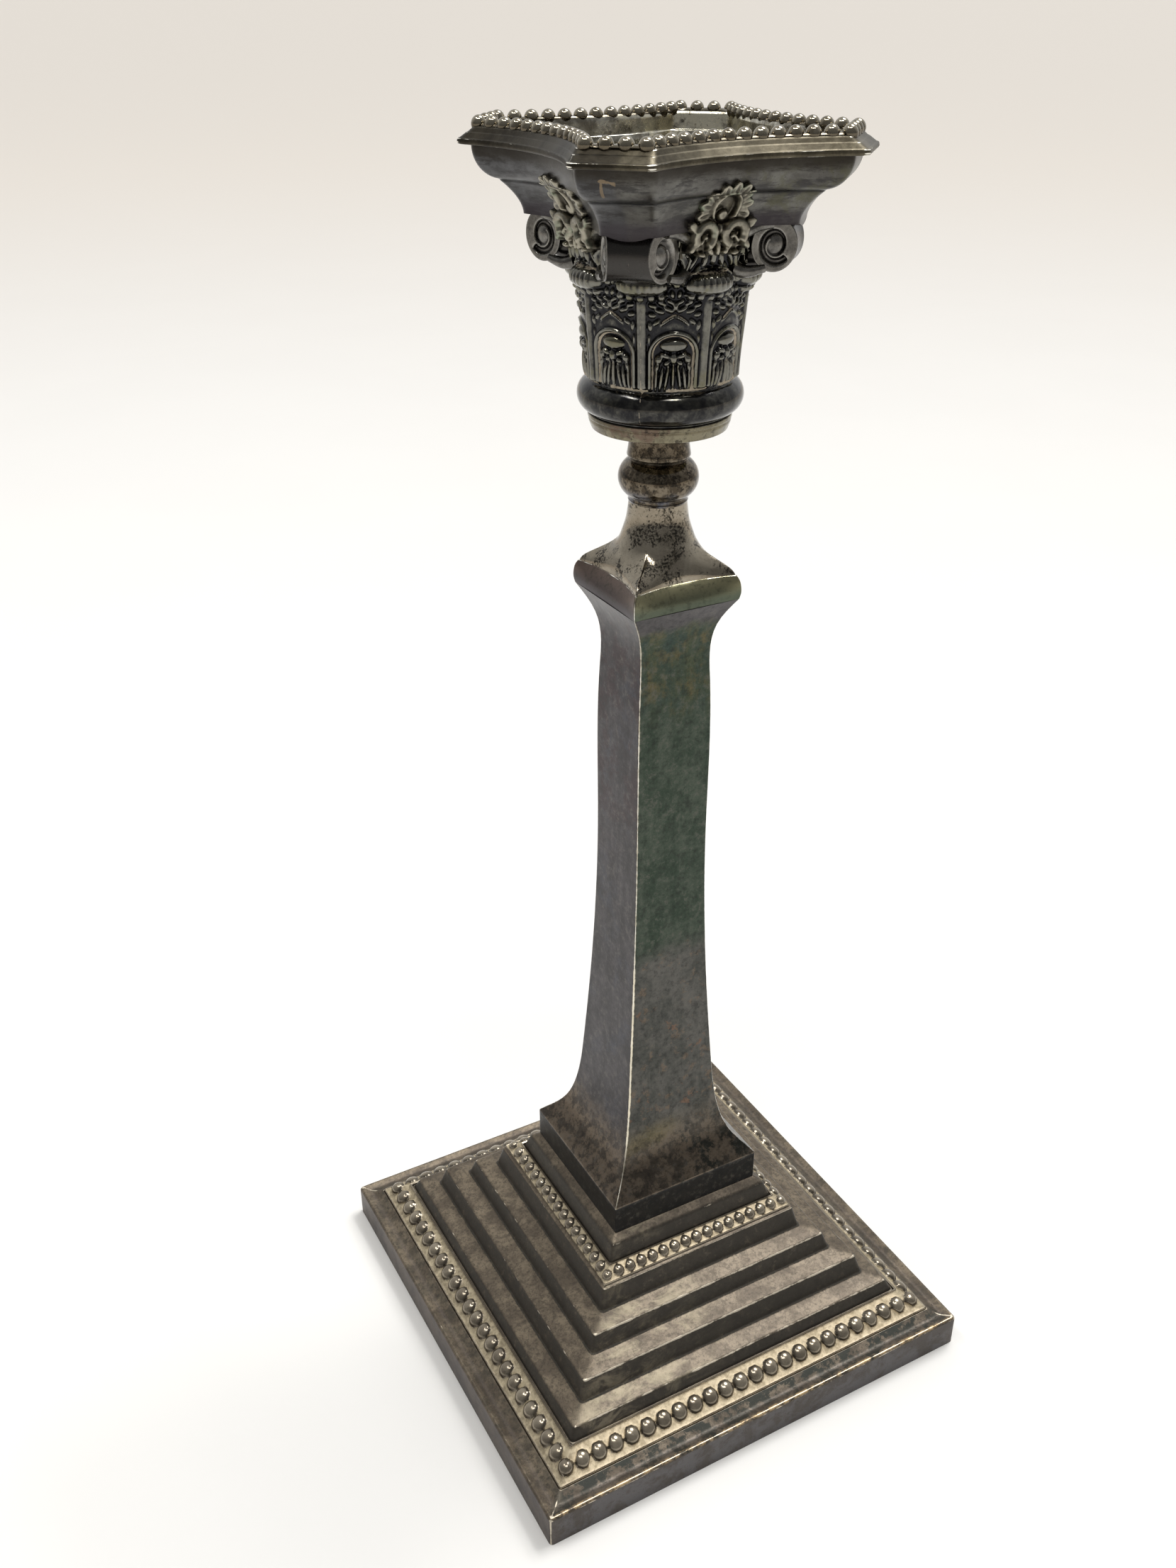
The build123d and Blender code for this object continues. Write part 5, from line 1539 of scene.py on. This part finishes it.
FLOOR_RADIUS = 30000.0
FLOOR_TOP, FLOOR_FOOT = -0.02, -30.0
floor_profile = [
    (PINHOLE, FLOOR_TOP), (400.0, FLOOR_TOP), (1500.0, FLOOR_TOP), (FLOOR_RADIUS, FLOOR_TOP),
    (FLOOR_RADIUS, FLOOR_FOOT), (PINHOLE, FLOOR_FOOT),
]
floor = surface("floor", [(turned(floor_profile, 64), False)])
paper = Finish("pale_paper")
from_middle = paper.node("ShaderNodeVectorMath", {"operation": "LENGTH"}, {0: paper.place}, output="Value")
near = paper.fade(paper.clouds(120, 3, 0.5), 0.3, 0.7, (0.745, 0.74, 0.73), (0.715, 0.71, 0.70), 0.3)
far = paper.fade(from_middle, 0.35, 2.6, near, (0.80, 0.75, 0.69))
floor.data.materials.append(paper.finish(base_color=far, roughness=0.75, specular_ior_level=0.2))


def soft_lamp(name, place, aim, size, power, colour):
    """A rectangular lamp at a place, turned towards a point."""
    data = bpy.data.lights.new(name, "AREA")
    data.shape = "RECTANGLE"
    data.size, data.size_y = size
    data.energy = power
    data.color = colour
    lamp = bpy.data.objects.new(name, data)
    away = np.subtract(place, aim)
    away = away / np.linalg.norm(away)
    right = np.cross((0.0, 0.0, 1.0), away)
    right /= np.linalg.norm(right)
    up = np.cross(away, right)
    rows = [[*axes, spot] for *axes, spot in zip(right, up, away, place)]
    lamp.matrix_world = Matrix(rows + [[0, 0, 0, 1]])
    bpy.context.scene.collection.objects.link(lamp)


PANELS = (
    ("ceiling_panel", (-0.22, -0.42, 1.60), (0.85, 0.13), 8),
    ("second_panel", (0.60, 0.10, 1.60), (0.60, 0.12), 5),
    ("third_panel", (-0.60, 0.20, 1.50), (0.50, 0.10), 4),
)
for name, place, size, power in PANELS:
    soft_lamp(name, place, (0, 0, 0.15), size, power, (1.0, 0.98, 0.94))

daylight = bpy.data.lights.new("daylight", "SUN")
daylight.energy = 1.6
daylight.angle = math.radians(28)
daylight.color = (1.0, 0.99, 0.97)
sun = bpy.data.objects.new("daylight", daylight)
sun.matrix_world = Matrix.Rotation(math.radians(-77), 4, "Z") @ Matrix.Rotation(math.radians(-27), 4, "X")
bpy.context.scene.collection.objects.link(sun)

world = bpy.data.worlds.new("pale_room")
world.use_nodes = True
bpy.context.scene.world = world
sky = world.node_tree
backing = sky.nodes["Background"]
direction = sky.nodes.new("ShaderNodeTexCoord")
split = sky.nodes.new("ShaderNodeSeparateXYZ")
sky.links.new(direction.outputs["Generated"], split.inputs[0])
toward = Wire(split.outputs["X"]) * 0.48 + Wire(split.outputs["Y"]) * 0.88
lit = (toward + 0.55) * 0.75 + Wire(split.outputs["Z"]) * 0.35
strength = lit.larger(0.30).smaller(1.0)
backing.inputs["Color"].default_value = (0.97, 0.97, 0.96, 1)
connect(strength * 0.8, backing.inputs["Strength"])

CAMERA_PLACE = (-0.1454, -0.2374, 0.3050)
CAMERA_TURN, CAMERA_DROP, CAMERA_ROLL = (math.radians(a) for a in (-28.63, 29.32, -0.23))
LENS = 33.82
camera_data = bpy.data.cameras.new("camera")
camera_data.sensor_fit = "VERTICAL"
camera_data.sensor_height = 36.0
camera_data.lens = LENS
camera_data.clip_end = 100.0
camera = bpy.data.objects.new("camera", camera_data)
turned_round = Matrix.Rotation(CAMERA_TURN, 4, "Z") @ Matrix.Rotation(math.pi / 2 - CAMERA_DROP, 4, "X")
camera.matrix_world = Matrix.Translation(CAMERA_PLACE) @ turned_round @ Matrix.Rotation(CAMERA_ROLL, 4, "Z")
bpy.context.scene.collection.objects.link(camera)
bpy.context.scene.camera = camera
bpy.context.scene.view_settings.view_transform = "Standard"
